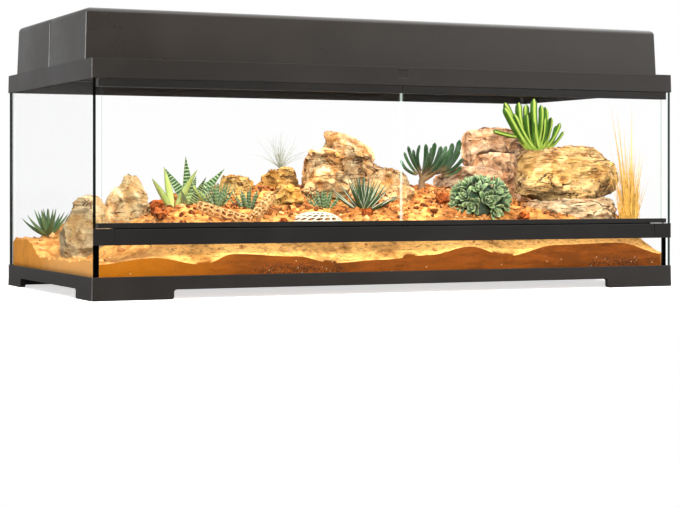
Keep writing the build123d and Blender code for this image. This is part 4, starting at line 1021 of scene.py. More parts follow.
# ---------------------------------------------------------------------- rocks
@dataclass(frozen=True)
class Rock:
    """One or more packed stones, broken up into beds and blocks with cracks between them."""

    node: str
    look: Stone
    slot: str = "pale_stone"
    voxel: float = 0.0026
    block: Point = (0.05, 0.05, 0.022)
    step: float = 0.007
    groove: float = 0.0022
    rough: float = 0.0016
    seed: float = 0.0
    lean: float = 0.25
    facet: float = 0.75
    facet_size: float = 0.024
    extras: tuple[tuple[Point, Point, float], ...] = ()

    def build(self) -> bpy.types.Object:
        """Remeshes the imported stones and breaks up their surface."""
        piece = bpy.data.objects.new("working", self._merged_copy())
        bpy.context.scene.collection.objects.link(piece)
        voxels = piece.modifiers.new("voxels", "REMESH")
        voxels.mode = "VOXEL"
        voxels.voxel_size = self.voxel
        bpy.context.view_layer.update()
        applied(piece)
        bm = bmesh.new()
        bm.from_mesh(piece.data)
        bpy.data.objects.remove(piece)
        self._break_up(bm)
        return finish_piece(f"{self.node}_broken", bm, self.look.make(), [self.node])

    def _merged_copy(self) -> bpy.types.Mesh:
        """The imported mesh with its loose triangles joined."""
        bm = bmesh.new()
        bm.from_mesh(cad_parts[self.node].data)
        bmesh.ops.remove_doubles(bm, verts=bm.verts, dist=0.00002)
        for centre, radii, top in self.extras:
            place = Matrix.Translation(centre) @ Matrix.Diagonal((*radii, 1.0)) @ Matrix.Rotation(self.seed, 4, "Z")
            bmesh.ops.create_cone(bm, cap_ends=True, segments=7, radius1=1.0, radius2=top, depth=2.0, matrix=place)
        mesh = bpy.data.meshes.new("copy")
        bm.to_mesh(mesh)
        bm.free()
        return mesh

    def _facets(self, bm: bmesh.types.BMesh) -> None:
        """Draws each small patch of the surface towards one plane, as stone breaks."""
        patches: dict[tuple, list] = {}
        for vert in bm.verts:
            spot = vert.co + 0.006 * noise.noise_vector(vert.co * 30) + Vector((self.seed, 0.0, 0.0))
            patches.setdefault(noise.voronoi(spot / self.facet_size)[1][0].to_tuple(3), []).append(vert)
        for verts in patches.values():
            way = sum((vert.normal for vert in verts), Vector())
            if way.length < 0.6 * len(verts):
                continue
            way.normalize()
            centre = sum((vert.co for vert in verts), Vector()) / len(verts)
            for vert in verts:
                vert.co += way * min(0.0035, max(-0.0035, self.facet * way.dot(centre - vert.co)))
        bm.normal_update()

    def _break_up(self, bm: bmesh.types.BMesh) -> None:
        """Moves blocks in and out along the surface and notes cracks, tones and crests."""
        layers = {name: bm.verts.layers.float.new(name) for name in ("crack", "tone", "crest")}
        bm.normal_update()
        self._facets(bm)
        size = Vector(self.block)
        moves = []
        for vert in bm.verts:
            co = vert.co + Vector((self.seed, 0.3 * self.seed, 0.0))
            warp = 0.018 * noise.noise_vector(co * 14) + 0.006 * noise.noise_vector(co * 48)
            leaned = Vector((co.x + warp.x, co.y + warp.y, co.z + warp.z + self.lean * 0.2 * co.x))
            cell = Vector((leaned.x / size.x, leaned.y / size.y, leaned.z / size.z))
            distances, points = noise.voronoi(cell)
            gap = distances[1] - distances[0]
            tone = noise.cell(points[0] * 13.7)
            groove = max(0.0, 1 - gap / 0.075)
            rough = noise.fractal(co * 70, 0.9, 2.1, 5)
            ledge = noise.noise(Vector((co.x * 12, co.y * 12, co.z * 260)))
            move = 0.7 * self.step * (tone - 0.5) * (1 - groove) - self.groove * groove
            ridged = noise.ridged_multi_fractal(co * 42, 1.0, 2.1, 5, 1.0, 2.0) - 1.3
            move += self.rough * (rough + 0.7 * ridged + 0.35 * ledge)
            moves.append(move)
            vert[layers["crack"]] = groove * min(1.0, max(0.0, 0.5 + 1.6 * noise.noise(co * 30)))
            vert[layers["tone"]] = min(1.0, max(0.0, 0.5 + 0.5 * (tone - 0.5) + 0.35 * rough))
            vert[layers["crest"]] = min(1.0, max(0.0, 0.8 * rough + 0.35 * ridged + 0.25))
        for vert, move in zip(bm.verts, moves):
            vert.co += vert.normal * move


TAN_STONE = Stone("tan_stone", (0.97, 0.70, 0.37), (0.82, 0.38, 0.10), (0.42, 0.125, 0.02), (0.075, 0.026, 0.01),
                  70.0, 0.5, 0.45, 0.8, 0.8)
CREAM_STONE = Stone("cream_stone", (0.98, 0.78, 0.46), (0.88, 0.55, 0.21), (0.58, 0.22, 0.04), (0.10, 0.042, 0.015),
                    60.0, 0.35, 0.45, 0.7)
OCHRE_STONE = Stone("ochre_stone", (0.94, 0.60, 0.19), (0.68, 0.31, 0.05), (0.34, 0.11, 0.015), (0.04, 0.014, 0.005),
                    50.0, 0.4, 0.58, 0.6)
LAYER_STONE = Stone("layer_stone", (0.88, 0.62, 0.28), (0.72, 0.40, 0.11), (0.46, 0.16, 0.03), (0.04, 0.017, 0.008),
                    230.0, 0.6, 0.44, 0.4, 1.0)
LEDGE_STONE = Stone("ledge_stone", (0.97, 0.76, 0.47), (0.78, 0.45, 0.20), (0.46, 0.18, 0.05), (0.06, 0.026, 0.012),
                    190.0, 0.4, 0.40, 0.7, 1.0)
PINK_STONE = Stone("pink_stone", (0.95, 0.65, 0.40), (0.76, 0.37, 0.16), (0.40, 0.14, 0.045), (0.08, 0.034, 0.018),
                   60.0, 0.5, 0.42, 0.6)
RED_STONE = Stone("red_clod", (0.66, 0.185, 0.035), (0.46, 0.095, 0.014), (0.30, 0.05, 0.008), (0.05, 0.011, 0.004),
                  60.0, 0.5, 0.5, 0.3)


@dataclass
class Rocks:
    """All the stones of the landscape."""

    def build(self) -> None:
        """Builds every stone."""
        for rock in (
                Rock("tower_rock", TAN_STONE, block=(0.07, 0.05, 0.034), step=0.007, seed=0.31, extras=(
                    ((-0.022, -0.004, 0.166), (0.037, 0.032, 0.036), 0.95),)),
                Rock("layered_rock", LAYER_STONE, "strata_stone", block=(0.085, 0.06, 0.040), step=0.006, lean=0.12, rough=0.0016,
                     facet_size=0.036, extras=(
                         ((0.372, -0.058, 0.139), (0.040, 0.030, 0.021), 0.95),
                         ((0.349, -0.058, 0.172), (0.084, 0.042, 0.036), 0.93))),
                Rock("left_boulder", CREAM_STONE, block=(0.06, 0.05, 0.07), step=0.003, groove=0.0006, rough=0.0011, seed=0.7,
                     facet_size=0.034, extras=(
                    ((-0.391, -0.016, 0.088), (0.046, 0.034, 0.049), 0.45),)),
                Rock("wedge_rock", CREAM_STONE, block=(0.06, 0.05, 0.05), step=0.003, groove=0.0006, rough=0.0009, seed=1.9,
                     facet_size=0.045, extras=(
                    ((-0.334, 0.000, 0.116), (0.052, 0.034, 0.055), 0.14),)),
                Rock("ledge_rock", LEDGE_STONE, "strata_stone", voxel=0.0022, block=(0.09, 0.06, 0.011), step=0.004, lean=0.08),
                Rock("rear_rocks", PINK_STONE, block=(0.034, 0.05, 0.06), step=0.007, seed=2.4, extras=(
                    ((0.252, 0.040, 0.138), (0.064, 0.038, 0.042), 0.6), ((0.350, 0.112, 0.170), (0.050, 0.038, 0.078), 0.8),
                    ((0.300, 0.060, 0.150), (0.054, 0.042, 0.052), 0.7))),
                Rock("low_rocks", OCHRE_STONE, voxel=0.002, block=(0.03, 0.03, 0.024), step=0.006, rough=0.0026, extras=(
                    ((-0.104, -0.055, 0.124), (0.035, 0.024, 0.026), 0.55), ((-0.152, 0.035, 0.136), (0.046, 0.030, 0.031), 0.5),
                    ((-0.070, 0.060, 0.150), (0.036, 0.028, 0.028), 0.7))),
                Rock("red_stones", RED_STONE, "red_stone", 0.0011, (0.012, 0.012, 0.01), 0.003, 0.0008, 0.0012)):
            rock.build()


# --------------------------------------------------------------------- plants
@dataclass(frozen=True)
class Blade:
    """One leaf: sizes in metres, bend in radians over its length, trough as a share of its width."""

    length: float
    width: float
    thickness: float
    bend: float = 0.0
    trough: float = 0.0
    widest: float = 0.3
    tip: float = 1.0
    rings: int = 9
    sides: int = 8
    foot: float = 0.5

    def width_at(self, share: float) -> float:
        """The leaf's width as a share of its full width."""
        if share < self.widest:
            return self.foot + (1 - self.foot) * math.sin(math.pi / 2 * share / self.widest)
        return 1 - ((share - self.widest) / (1 - self.widest)) ** self.tip

    def spine(self, share: float) -> tuple[float, float, float]:
        """The middle line's place along and above its foot, and its slope."""
        angle = self.bend * share
        if abs(self.bend) < 1e-4:
            return self.length * share, 0.0, 0.0
        radius = self.length / self.bend
        return radius * math.sin(angle), radius * (1 - math.cos(angle)), angle


class Foliage:
    """A bmesh of leaves with the numbers that the leaf finish reads."""

    def __init__(self) -> None:
        """Starts an empty mesh with its layers."""
        self.bm = self._leaf_mesh()

    @staticmethod
    def _leaf_mesh() -> bmesh.types.BMesh:
        """An empty mesh with the leaf finish's four layers."""
        bm = bmesh.new()
        for name in ("along", "across", "under", "tone"):
            bm.verts.layers.float.new(name)
        return bm

    def _append(self, part: bmesh.types.BMesh) -> None:
        """Moves a finished part into the whole."""
        bmesh.ops.recalc_face_normals(part, faces=part.faces)
        mesh = bpy.data.meshes.new("part")
        part.to_mesh(mesh)
        part.free()
        self.bm.from_mesh(mesh)
        bpy.data.meshes.remove(mesh)

    def add(self, blade: Blade, place: Matrix, tone: float = 0.5, grown: float = 1.0) -> None:
        """Adds a leaf that starts at the place's origin and grows along its X axis.

        Args:
            blade: The leaf's shape.
            place: Where the leaf's foot is and how it points.
            tone: The leaf's own shade, from 0 to 1.
            grown: How far along the leaf's colours it reaches, small for a bare stem.
        """
        part = self._leaf_mesh()
        along, across, under, shade = (part.verts.layers.float[name] for name in ("along", "across", "under", "tone"))
        made = bmesh.ops.create_grid(part, x_segments=blade.rings, y_segments=blade.sides, size=1.0)["verts"]
        for vert in made:
            share = 1 - (1 - (vert.co.x + 1) / 2) ** 1.4
            angle = math.pi * (vert.co.y + 1)
            x, z, slope = blade.spine(share)
            width = blade.width_at(share)
            wide = 0.5 * blade.width * width
            thick = 0.5 * blade.thickness * min(1.0, width * 1.2)
            side = wide * math.cos(angle)
            up = thick * math.sin(angle) + blade.trough * abs(math.cos(angle)) ** 1.5 * wide
            vert[along] = grown * share
            vert[across] = abs(math.cos(angle))
            vert[under] = 1.0 if math.sin(angle) < -0.2 else 0.0
            vert[shade] = tone
            vert.co = place @ Vector((x - up * math.sin(slope), side, z + up * math.cos(slope)))
        bmesh.ops.remove_doubles(part, verts=part.verts, dist=0.00001)
        open_edges = [edge for edge in part.edges if edge.is_boundary]
        if open_edges:
            bmesh.ops.holes_fill(part, edges=open_edges, sides=0)
        self._append(part)

    def reach(self, foot: Point, tip: Point, blade: Blade, face: Point = (0.0, 0.0, 1.0), tone: float = 0.5,
              grown: float = 1.0) -> None:
        """Adds a leaf from foot to tip whose upper face looks as far as it can towards face.

        Args:
            foot: Where the leaf starts.
            tip: Where it ends.
            blade: Its shape, scaled to the distance.
            face: Where its upper face looks.
            tone: Its own shade, from 0 to 1.
            grown: How far along the leaf's colours it reaches, small for a bare stem.
        """
        way = Vector(tip) - Vector(foot)
        ahead = way.normalized()
        side = Vector(face).cross(ahead).normalized()
        turn = Matrix((ahead, side, ahead.cross(side))).transposed().to_4x4()
        end_x, end_z, _ = blade.spine(1.0)
        own = math.hypot(end_x, end_z)
        level = Matrix.Rotation(math.atan2(end_z, end_x), 4, "Y")
        self.add(blade, Matrix.Translation(foot) @ turn @ level @ Matrix.Scale(way.length / own, 4), tone, grown)

    def shade_core(self, centre: Point, radii: Point, tone: float) -> None:
        """Adds a dark round core between the leaves of a mound, a painted shade for the gaps between them."""
        part = self._leaf_mesh()
        place = Matrix.Translation(centre) @ Matrix.Diagonal((*radii, 1.0))
        for vert in bmesh.ops.create_icosphere(part, subdivisions=3, radius=1.0, matrix=place)["verts"]:
            vert[part.verts.layers.float["tone"]] = tone
            vert[part.verts.layers.float["under"]] = 1.0
        self._append(part)

    def rosette(self, centre: Point, blades: Callable[[float], Blade], count: int, low: float, high: float,
                draw: random.Random, radius: float = 0.004, base: Matrix | None = None) -> None:
        """Adds leaves round a centre, each a golden angle on and steeper than the last.

        Args:
            centre: The rosette's heart.
            blades: The leaf's shape for a share from the outermost, 0, to the innermost, 1.
            count: How many leaves.
            low: The outermost leaves' rise over the level, in degrees.
            high: The innermost leaves' rise.
            draw: The source of small differences.
            radius: How far out the outermost leaves start.
            base: How the whole rosette is turned, upright unless given.
        """
        heart = Matrix.Translation(centre) @ (base or Matrix.Identity(4))
        for k in range(count):
            share = k / max(1, count - 1)
            turn = Matrix.Rotation(GOLDEN_ANGLE * k + draw.uniform(-0.2, 0.2), 4, "Z")
            rise = math.radians(low + (high - low) * share + draw.uniform(-5, 5))
            start = Matrix.Translation((radius * (1 - share), 0, 0.3 * radius * share))
            self.add(blades(share), heart @ turn @ start @ Matrix.Rotation(-rise, 4, "Y"), draw.random())


def up_and_round(rise: float, turn: float) -> Matrix:
    """A turn that points X up by rise and then round by turn, both in degrees."""
    return Matrix.Rotation(math.radians(turn), 4, "Z") @ Matrix.Rotation(-math.radians(rise), 4, "Y")


@dataclass
class Haworthias:
    """Small stiff rosettes: dark green, some with pale pearly bands and margins."""

    dark: Leaf = Leaf("haworthia_leaf", (0.032, 0.081, 0.021), (0.180, 0.204, 0.060), (0.028, 0.059, 0.021), (0.180, 0.252, 0.108),
                      (0.128, 0.216, 0.080), 0.8, 0.4)
    pearled: Leaf = Leaf("pearled_leaf", (0.020, 0.055, 0.014), (0.216, 0.240, 0.084), (0.049, 0.084, 0.035), (0.413, 0.465, 0.270),
                         (0.063, 0.126, 0.042), 0.82, 0.5, bands=52.0, band_colour=(0.28, 0.35, 0.18))

    def build(self) -> None:
        """Builds the rosette in the left corner and the three between the rocks."""
        draw = random.Random(3)
        corner = Foliage()
        corner.rosette((-0.402, 0.170, 0.076), self._slender(0.050, 0.0085), 17, 14, 86, draw)
        finish_piece("haworthia_left", corner.bm, self.dark.make(), ["left_haworthia"])
        small = Foliage()
        small.rosette((-0.217, -0.062, 0.118), self._slender(0.046, 0.0058), 18, 35, 86, draw)
        small.rosette((-0.181, -0.092, 0.113), self._slender(0.042, 0.0056), 20, 24, 84, draw)
        small.rosette((-0.064, -0.090, 0.110), self._slender(0.042, 0.0056), 26, 34, 87, draw)
        finish_piece("haworthias_small", small.bm, self.pearled.make(), ["small_haworthias"])

    def _slender(self, length: float, width: float) -> Callable[[float], Blade]:
        """Narrow pointed leaves, shorter towards the heart."""
        return lambda share: Blade(length * (1 - 0.2 * share), width, 0.62 * width, 0.5 - 0.45 * share, 0.2, 0.25, 1.15)


@dataclass
class StripedAloe:
    """The large aloe: broad leaves, some pale yellow-green and plain, others dark with white bands."""

    banded: Leaf = Leaf("banded_aloe_leaf", (0.017, 0.048, 0.011), (0.165, 0.209, 0.055), (0.030, 0.060, 0.021),
                        (0.495, 0.570, 0.315), (0.033, 0.078, 0.023), 0.84, 0.75, bands=88.0, band_colour=(0.42, 0.52, 0.28))
    plain: Leaf = Leaf("pale_aloe_leaf", (0.211, 0.291, 0.056), (0.450, 0.465, 0.150), (0.096, 0.168, 0.036), (0.056, 0.126, 0.028),
                       (0.322, 0.392, 0.112), 0.80, 0.8, spread_tone=0.2, bloom=0.05)
    pale_leaves: tuple[tuple[Point, Point], ...] = (
        ((-0.270, -0.012, 0.117), (-0.303, -0.024, 0.162)), ((-0.267, -0.012, 0.117), (-0.279, -0.008, 0.179)),
        ((-0.263, -0.012, 0.117), (-0.234, -0.026, 0.175)), ((-0.236, -0.012, 0.150), (-0.216, -0.042, 0.114)))
    banded_leaves: tuple[tuple[Point, Point], ...] = (
        ((-0.242, -0.008, 0.126), (-0.276, 0.004, 0.179)), ((-0.240, -0.008, 0.124), (-0.246, -0.008, 0.194)),
        ((-0.236, -0.008, 0.126), (-0.184, -0.004, 0.176)), ((-0.236, -0.006, 0.124), (-0.188, 0.022, 0.154)),
        ((-0.242, -0.004, 0.124), (-0.254, 0.024, 0.162)), ((-0.238, -0.010, 0.124), (-0.222, -0.030, 0.164)),
        ((-0.240, -0.002, 0.124), (-0.216, 0.030, 0.166)), ((-0.246, -0.010, 0.122), (-0.262, -0.034, 0.146)))

    def build(self) -> None:
        """Builds the leaves, each from its foot to its tip."""
        draw = random.Random(5)
        banded, pale = Foliage(), Foliage()
        for foot, tip in self.banded_leaves:
            blade = Blade(0.06, 0.0150, 0.0062, draw.uniform(-0.3, 0.6), 0.3, 0.26, 1.2, 14, 12, 0.6)
            banded.reach(foot, tip, blade, (-0.3, -1.0, 0.5), draw.random())
        for foot, tip in self.pale_leaves:
            blade = Blade(0.06, 0.0100, 0.0055, draw.uniform(-0.8, -0.4), 0.15, 0.36, 1.5, 14, 12, 0.45)
            pale.reach(foot, tip, blade, (0.3, 1.0, 0.3), draw.random())
        finish_piece("aloe_banded", banded.bm, self.banded.make(), ["striped_aloe"])
        finish_piece("aloe_pale", pale.bm, self.plain.make(), [])


@dataclass
class EdgedAgave:
    """A narrow-leaved agave with white margins."""

    look: Leaf = Leaf("agave_leaf", (0.028, 0.062, 0.018), (0.180, 0.204, 0.078), (0.072, 0.066, 0.036), (0.60, 0.62, 0.46),
                      (0.032, 0.065, 0.022), 0.80, 0.9, 0.9)

    def build(self) -> None:
        """Builds the rosette."""
        draw = random.Random(8)
        plant = Foliage()

        def shape(share: float) -> Blade:
            """Stiff narrow leaves of nearly one length."""
            return Blade(0.062 - 0.006 * share, 0.0066, 0.0042, 0.12, 0.25, 0.35, 1.1)

        plant.rosette((-0.002, -0.095, 0.110), shape, 30, 18, 84, draw)
        finish_piece("agave_edged", plant.bm, self.look.make(), ["agave"])


@dataclass
class Echeverias:
    """A mound of grey-green spoon-leaved rosettes that crowd each other."""

    # Painted shade: the dark foot colour and the darker lower-face colour stand for the shade in the gaps between the
    # leaves.
    look: Leaf = Leaf("echeveria_leaf", (0.080, 0.140, 0.055), (0.020, 0.050, 0.015), (0.300, 0.390, 0.170), (0.480, 0.580, 0.300),
                      (0.030, 0.075, 0.026), 0.72, 0.5, 0.6, bloom=0.08, spread_tone=0.45)
    centre: Point = (0.1835, -0.110, 0.126)
    radii: Point = (0.036, 0.030, 0.029)
    heads: int = 26

    def build(self) -> None:
        """Places the rosettes over a dark core by the golden angle; the core is painted shade in the gaps between them.
        """
        draw = random.Random(13)
        plant = Foliage()
        # Painted shade: a dark core fills the gaps between the rosettes.
        plant.shade_core(self.centre, tuple(0.97 * part for part in self.radii), 0.0)
        for k in range(self.heads):
            up = math.asin(1 - 1.45 * k / (self.heads - 1))
            turn = GOLDEN_ANGLE * k
            way = Vector((math.cos(up) * math.cos(turn), math.cos(up) * math.sin(turn), math.sin(up)))
            heart = Vector(self.centre) + Vector(tuple(part * axis for part, axis in zip(way, self.radii)))
            base = Vector((0, 0, 1)).rotation_difference(way).to_matrix().to_4x4()
            plant.rosette(heart, self._spoons(draw.uniform(0.85, 1.2)), 17, 14, 80, draw, 0.002, base)
        finish_piece("echeveria_mound", plant.bm, self.look.make(), ["echeveria_cluster"])

    def _spoons(self, size: float) -> Callable[[float], Blade]:
        """Spoon leaves, widest towards the tip and smaller at the heart."""
        return lambda share: Blade(size * (0.0182 - 0.0072 * share), size * (0.0088 - 0.0036 * share), 0.0024, 0.7,
                                   0.4, 0.6, 2.2, 6, 8, 0.45)


@dataclass
class FingerBush:
    """A succulent bush: short trunk, forking stems and blunt upright fingers, each from foot to tip."""

    name: str
    node: str
    slot: str
    look: Leaf
    stems: tuple[tuple[Point, Point, float], ...]
    fingers: tuple[tuple[Point, Point], ...]
    finger_width: float
    bend: float
    seed: int

    def build(self) -> None:
        """Builds the stems and then the fingers."""
        draw = random.Random(self.seed)
        plant = Foliage()
        for foot, end, width in self.stems:
            stem = Blade(0.02, width, width, 0.15, 0.0, 0.1, 8.0, 7, 10, 1.0)
            plant.reach(foot, end, stem, (0, -1, 0.2), 0.4, 0.1)
        for foot, tip in self.fingers:
            outward = Vector((tip[0] - self.stems[0][0][0], tip[1] - self.stems[0][0][1], 0.0))
            inward = -outward + Vector((0.0, 0.0, 0.01))
            width = self.finger_width * draw.uniform(0.85, 1.15)
            blade = Blade(0.05, width, 0.85 * width, self.bend * draw.uniform(0.4, 1.4), 0.0, 0.72, 4.5, 12, 10, 0.55)
            plant.reach(foot, tip, blade, tuple(inward), draw.random())
        finish_piece(self.name, plant.bm, self.look.make(), [self.node])


# Painted highlight and shade: the pale margin colours light the fingers' flanks as rims, and the darker lower-face
# colours shade their undersides.
DARK_FINGERS = Leaf("dark_finger_skin", (0.024, 0.072, 0.018), (0.234, 0.135, 0.054), (0.040, 0.088, 0.028), (0.080, 0.176, 0.048),
                    (0.015, 0.045, 0.014), 0.9, 0.25, 0.9, bloom=0.06)
BRIGHT_FINGERS = Leaf("bright_finger_skin", (0.040, 0.110, 0.006), (0.26, 0.38, 0.05), (0.017, 0.052, 0.014),
                      (0.480, 0.600, 0.110), (0.030, 0.085, 0.005), 0.80, 0.75, 0.82, bloom=0.0, spread_tone=0.4)


DARK_STEMS = (
    ((0.159, 0.036, 0.140), (0.159, 0.036, 0.165), 0.0085), ((0.159, 0.036, 0.160), (0.154, 0.036, 0.176), 0.0065),
    ((0.159, 0.036, 0.160), (0.170, 0.036, 0.175), 0.0065), ((0.159, 0.036, 0.159), (0.187, 0.040, 0.174), 0.0060),
    ((0.159, 0.036, 0.160), (0.166, 0.042, 0.175), 0.0060), ((0.180, 0.039, 0.170), (0.198, 0.046, 0.172), 0.0055))
DARK_TIPS = (
    ((0.154, 0.036, 0.172), (0.130, 0.026, 0.213)), ((0.156, 0.036, 0.172), (0.150, 0.048, 0.208)),
    ((0.158, 0.036, 0.174), (0.156, 0.036, 0.215)), ((0.161, 0.036, 0.174), (0.172, 0.048, 0.217)),
    ((0.163, 0.036, 0.172), (0.169, 0.024, 0.211)), ((0.166, 0.036, 0.172), (0.182, 0.036, 0.219)),
    ((0.170, 0.036, 0.171), (0.198, 0.046, 0.214)), ((0.172, 0.036, 0.171), (0.198, 0.028, 0.214)),
    ((0.175, 0.036, 0.168), (0.213, 0.044, 0.209)), ((0.151, 0.036, 0.169), (0.122, 0.036, 0.192)),
    ((0.152, 0.036, 0.169), (0.135, 0.050, 0.204)), ((0.149, 0.036, 0.168), (0.120, 0.022, 0.181)),
    ((0.188, 0.036, 0.174), (0.219, 0.048, 0.219)), ((0.191, 0.036, 0.172), (0.228, 0.040, 0.224)),
    ((0.195, 0.036, 0.171), (0.223, 0.030, 0.207)), ((0.196, 0.036, 0.169), (0.236, 0.044, 0.195)),
    ((0.186, 0.036, 0.172), (0.212, 0.056, 0.204)), ((0.198, 0.036, 0.166), (0.228, 0.036, 0.182)),
    ((0.160, 0.036, 0.172), (0.163, 0.020, 0.203)), ((0.168, 0.036, 0.170), (0.190, 0.022, 0.200)))
BRIGHT_STEMS = (
    ((0.314, -0.062, 0.198), (0.316, -0.062, 0.222), 0.0110), ((0.306, -0.062, 0.200), (0.290, -0.062, 0.226), 0.0090),
    ((0.318, -0.062, 0.202), (0.330, -0.060, 0.222), 0.0085), ((0.302, -0.062, 0.204), (0.278, -0.062, 0.229), 0.0080))
BRIGHT_TIPS = (
    ((0.292, -0.062, 0.211), (0.247, -0.070, 0.272)), ((0.296, -0.062, 0.209), (0.280, -0.058, 0.280)),
    ((0.301, -0.062, 0.209), (0.298, -0.050, 0.278)), ((0.305, -0.062, 0.208), (0.298, -0.074, 0.249)),
    ((0.310, -0.062, 0.209), (0.317, -0.062, 0.277)), ((0.316, -0.062, 0.209), (0.320, -0.072, 0.256)),
    ((0.323, -0.062, 0.209), (0.339, -0.056, 0.258)), ((0.332, -0.062, 0.208), (0.358, -0.062, 0.236)),
    ((0.330, -0.062, 0.208), (0.353, -0.048, 0.245)), ((0.280, -0.062, 0.226), (0.229, -0.068, 0.235)),
    ((0.299, -0.062, 0.209), (0.277, -0.046, 0.256)), ((0.308, -0.062, 0.208), (0.308, -0.044, 0.266)),
    ((0.294, -0.064, 0.210), (0.258, -0.052, 0.280)), ((0.303, -0.060, 0.209), (0.288, -0.068, 0.262)),
    ((0.318, -0.064, 0.209), (0.328, -0.056, 0.274)), ((0.326, -0.060, 0.208), (0.347, -0.070, 0.249)),
    ((0.312, -0.064, 0.209), (0.306, -0.060, 0.286)), ((0.300, -0.066, 0.209), (0.268, -0.064, 0.262)))


@dataclass
class Grasses:
    """The wispy air plant on its rock and the dry clump at the right."""

    silver: Dried = Dried("silver_strand_look", (0.44, 0.45, 0.36), (0.28, 0.31, 0.22), (0.20, 0.18, 0.12))
    straw: Dried = Dried("dry_stalk_look", (0.80, 0.52, 0.13), (0.62, 0.33, 0.06), (0.34, 0.16, 0.03))
    bends_from: float = 0.430
    room: float = 0.0105

    def build(self) -> None:
        """Builds both clumps."""
        draw = random.Random(21)
        tuft = Foliage()
        for _ in range(80):
            length = draw.uniform(0.024, 0.072)
            blade = Blade(length, 0.0006, 0.0005, draw.uniform(-1.3, 1.1), 0, 0.1, 1.2, 9, 4, 1.0)
            place = Matrix.Translation((-0.065, 0.072, 0.176)) @ up_and_round(90 - 52 * draw.random() ** 1.8, draw.uniform(0, 360))
            tuft.add(blade, place, draw.random())
        finish_piece("air_plant_strands", tuft.bm, self.silver.make(), ["air_plant"])
        clump = Foliage()
        for _ in range(300):
            length = draw.uniform(0.06, 0.160) * draw.uniform(0.5, 1.0)
            foot = (0.418 + draw.gauss(0, 0.0055), -0.155 + draw.gauss(0, 0.005), 0.075)
            blade = Blade(length, 0.0020, 0.0014, draw.uniform(-0.2, 0.25), 0, 0.1, 1.0, 7, 4, 1.0)
            clump.add(blade, Matrix.Translation(foot) @ up_and_round(draw.uniform(74, 89), draw.uniform(0, 360)), draw.random())
        for rise, turn, length in ((80.5, 190, 0.205), (85.5, 160, 0.196), (87, 20, 0.204), (78, 205, 0.150), (86, 90, 0.17)):
            blade = Blade(length, 0.0028, 0.0028, draw.uniform(-0.06, 0.06), 0, 0.1, 1.6, 12, 5, 1.0)
            clump.add(blade, Matrix.Translation((0.418, -0.157, 0.072)) @ up_and_round(rise, turn), draw.random())
        for vert in clump.bm.verts:
            over = vert.co.x - self.bends_from
            if over > 0:
                vert.co.x = self.bends_from + self.room * math.tanh(over / self.room)
        finish_piece("grass_dry", clump.bm, self.straw.make(), ["dry_grass"])


@dataclass
class ChollaWood:
    """Two hollow lengths of dead cactus wood with slots between their strands."""

    look: Dried = Dried("dead_wood_look", (0.56, 0.35, 0.14), (0.30, 0.14, 0.045), (0.07, 0.03, 0.012), (240.0, 240.0, 240.0))
    lengths: tuple[tuple[Point, Point, float], ...] = (
        ((-0.262, -0.104, 0.121), (-0.196, -0.143, 0.099), 0.0098),
        ((-0.150, -0.102, 0.136), (-0.190, -0.134, 0.104), 0.0088))
    around: int = 9
    wall: float = 0.0022

    def build(self) -> None:
        """Builds both lengths as lattices and rounds their strands."""
        bm = bmesh.new()
        tone = bm.verts.layers.float.new("tone")
        for start, end, radius in self.lengths:
            self._lattice(bm, tone, Vector(start), Vector(end), radius)
        piece = finish_piece("wood_cholla", bm, self.look.make(), ["cholla_wood"])
        wall = piece.modifiers.new("wall", "SOLIDIFY")
        wall.thickness = self.wall
        round_off = piece.modifiers.new("round", "SUBSURF")
        round_off.levels = round_off.render_levels = 2
        applied(piece)

    def _lattice(self, bm: bmesh.types.BMesh, tone: object, start: Vector, end: Vector, radius: float) -> None:
        """Adds one tube whose faces are opened, with alternate rings half a step on."""
        axis = end - start
        rows = max(4, round(axis.length / 0.0085))
        made = bmesh.ops.create_grid(bm, x_segments=rows, y_segments=self.around, size=1.0)["verts"]
        turn = Vector((0, 0, 1)).rotation_difference(axis.normalized()).to_matrix()
        for vert in made:
            row = round((vert.co.x + 1) / 2 * rows)
            angle = math.pi * (vert.co.y + 1) + 0.5 * math.tau / self.around * (row % 2) + 0.12 * row
            swell = radius * (1 + 0.14 * noise.noise(Vector((row * 0.7, 3 * math.cos(angle), radius * 900))))
            local = Vector((swell * math.cos(angle), swell * math.sin(angle), row / rows * axis.length))
            vert.co = start + turn @ local
            vert[tone] = 0.5 + 0.4 * noise.noise(local * 300)
        bmesh.ops.remove_doubles(bm, verts=made, dist=0.0001)
        faces = list({face for vert in made if vert.is_valid for face in vert.link_faces})
        bmesh.ops.recalc_face_normals(bm, faces=faces)
        bmesh.ops.inset_individual(bm, faces=faces, thickness=0.0011, use_even_offset=True)
        bmesh.ops.delete(bm, geom=faces, context="FACES")


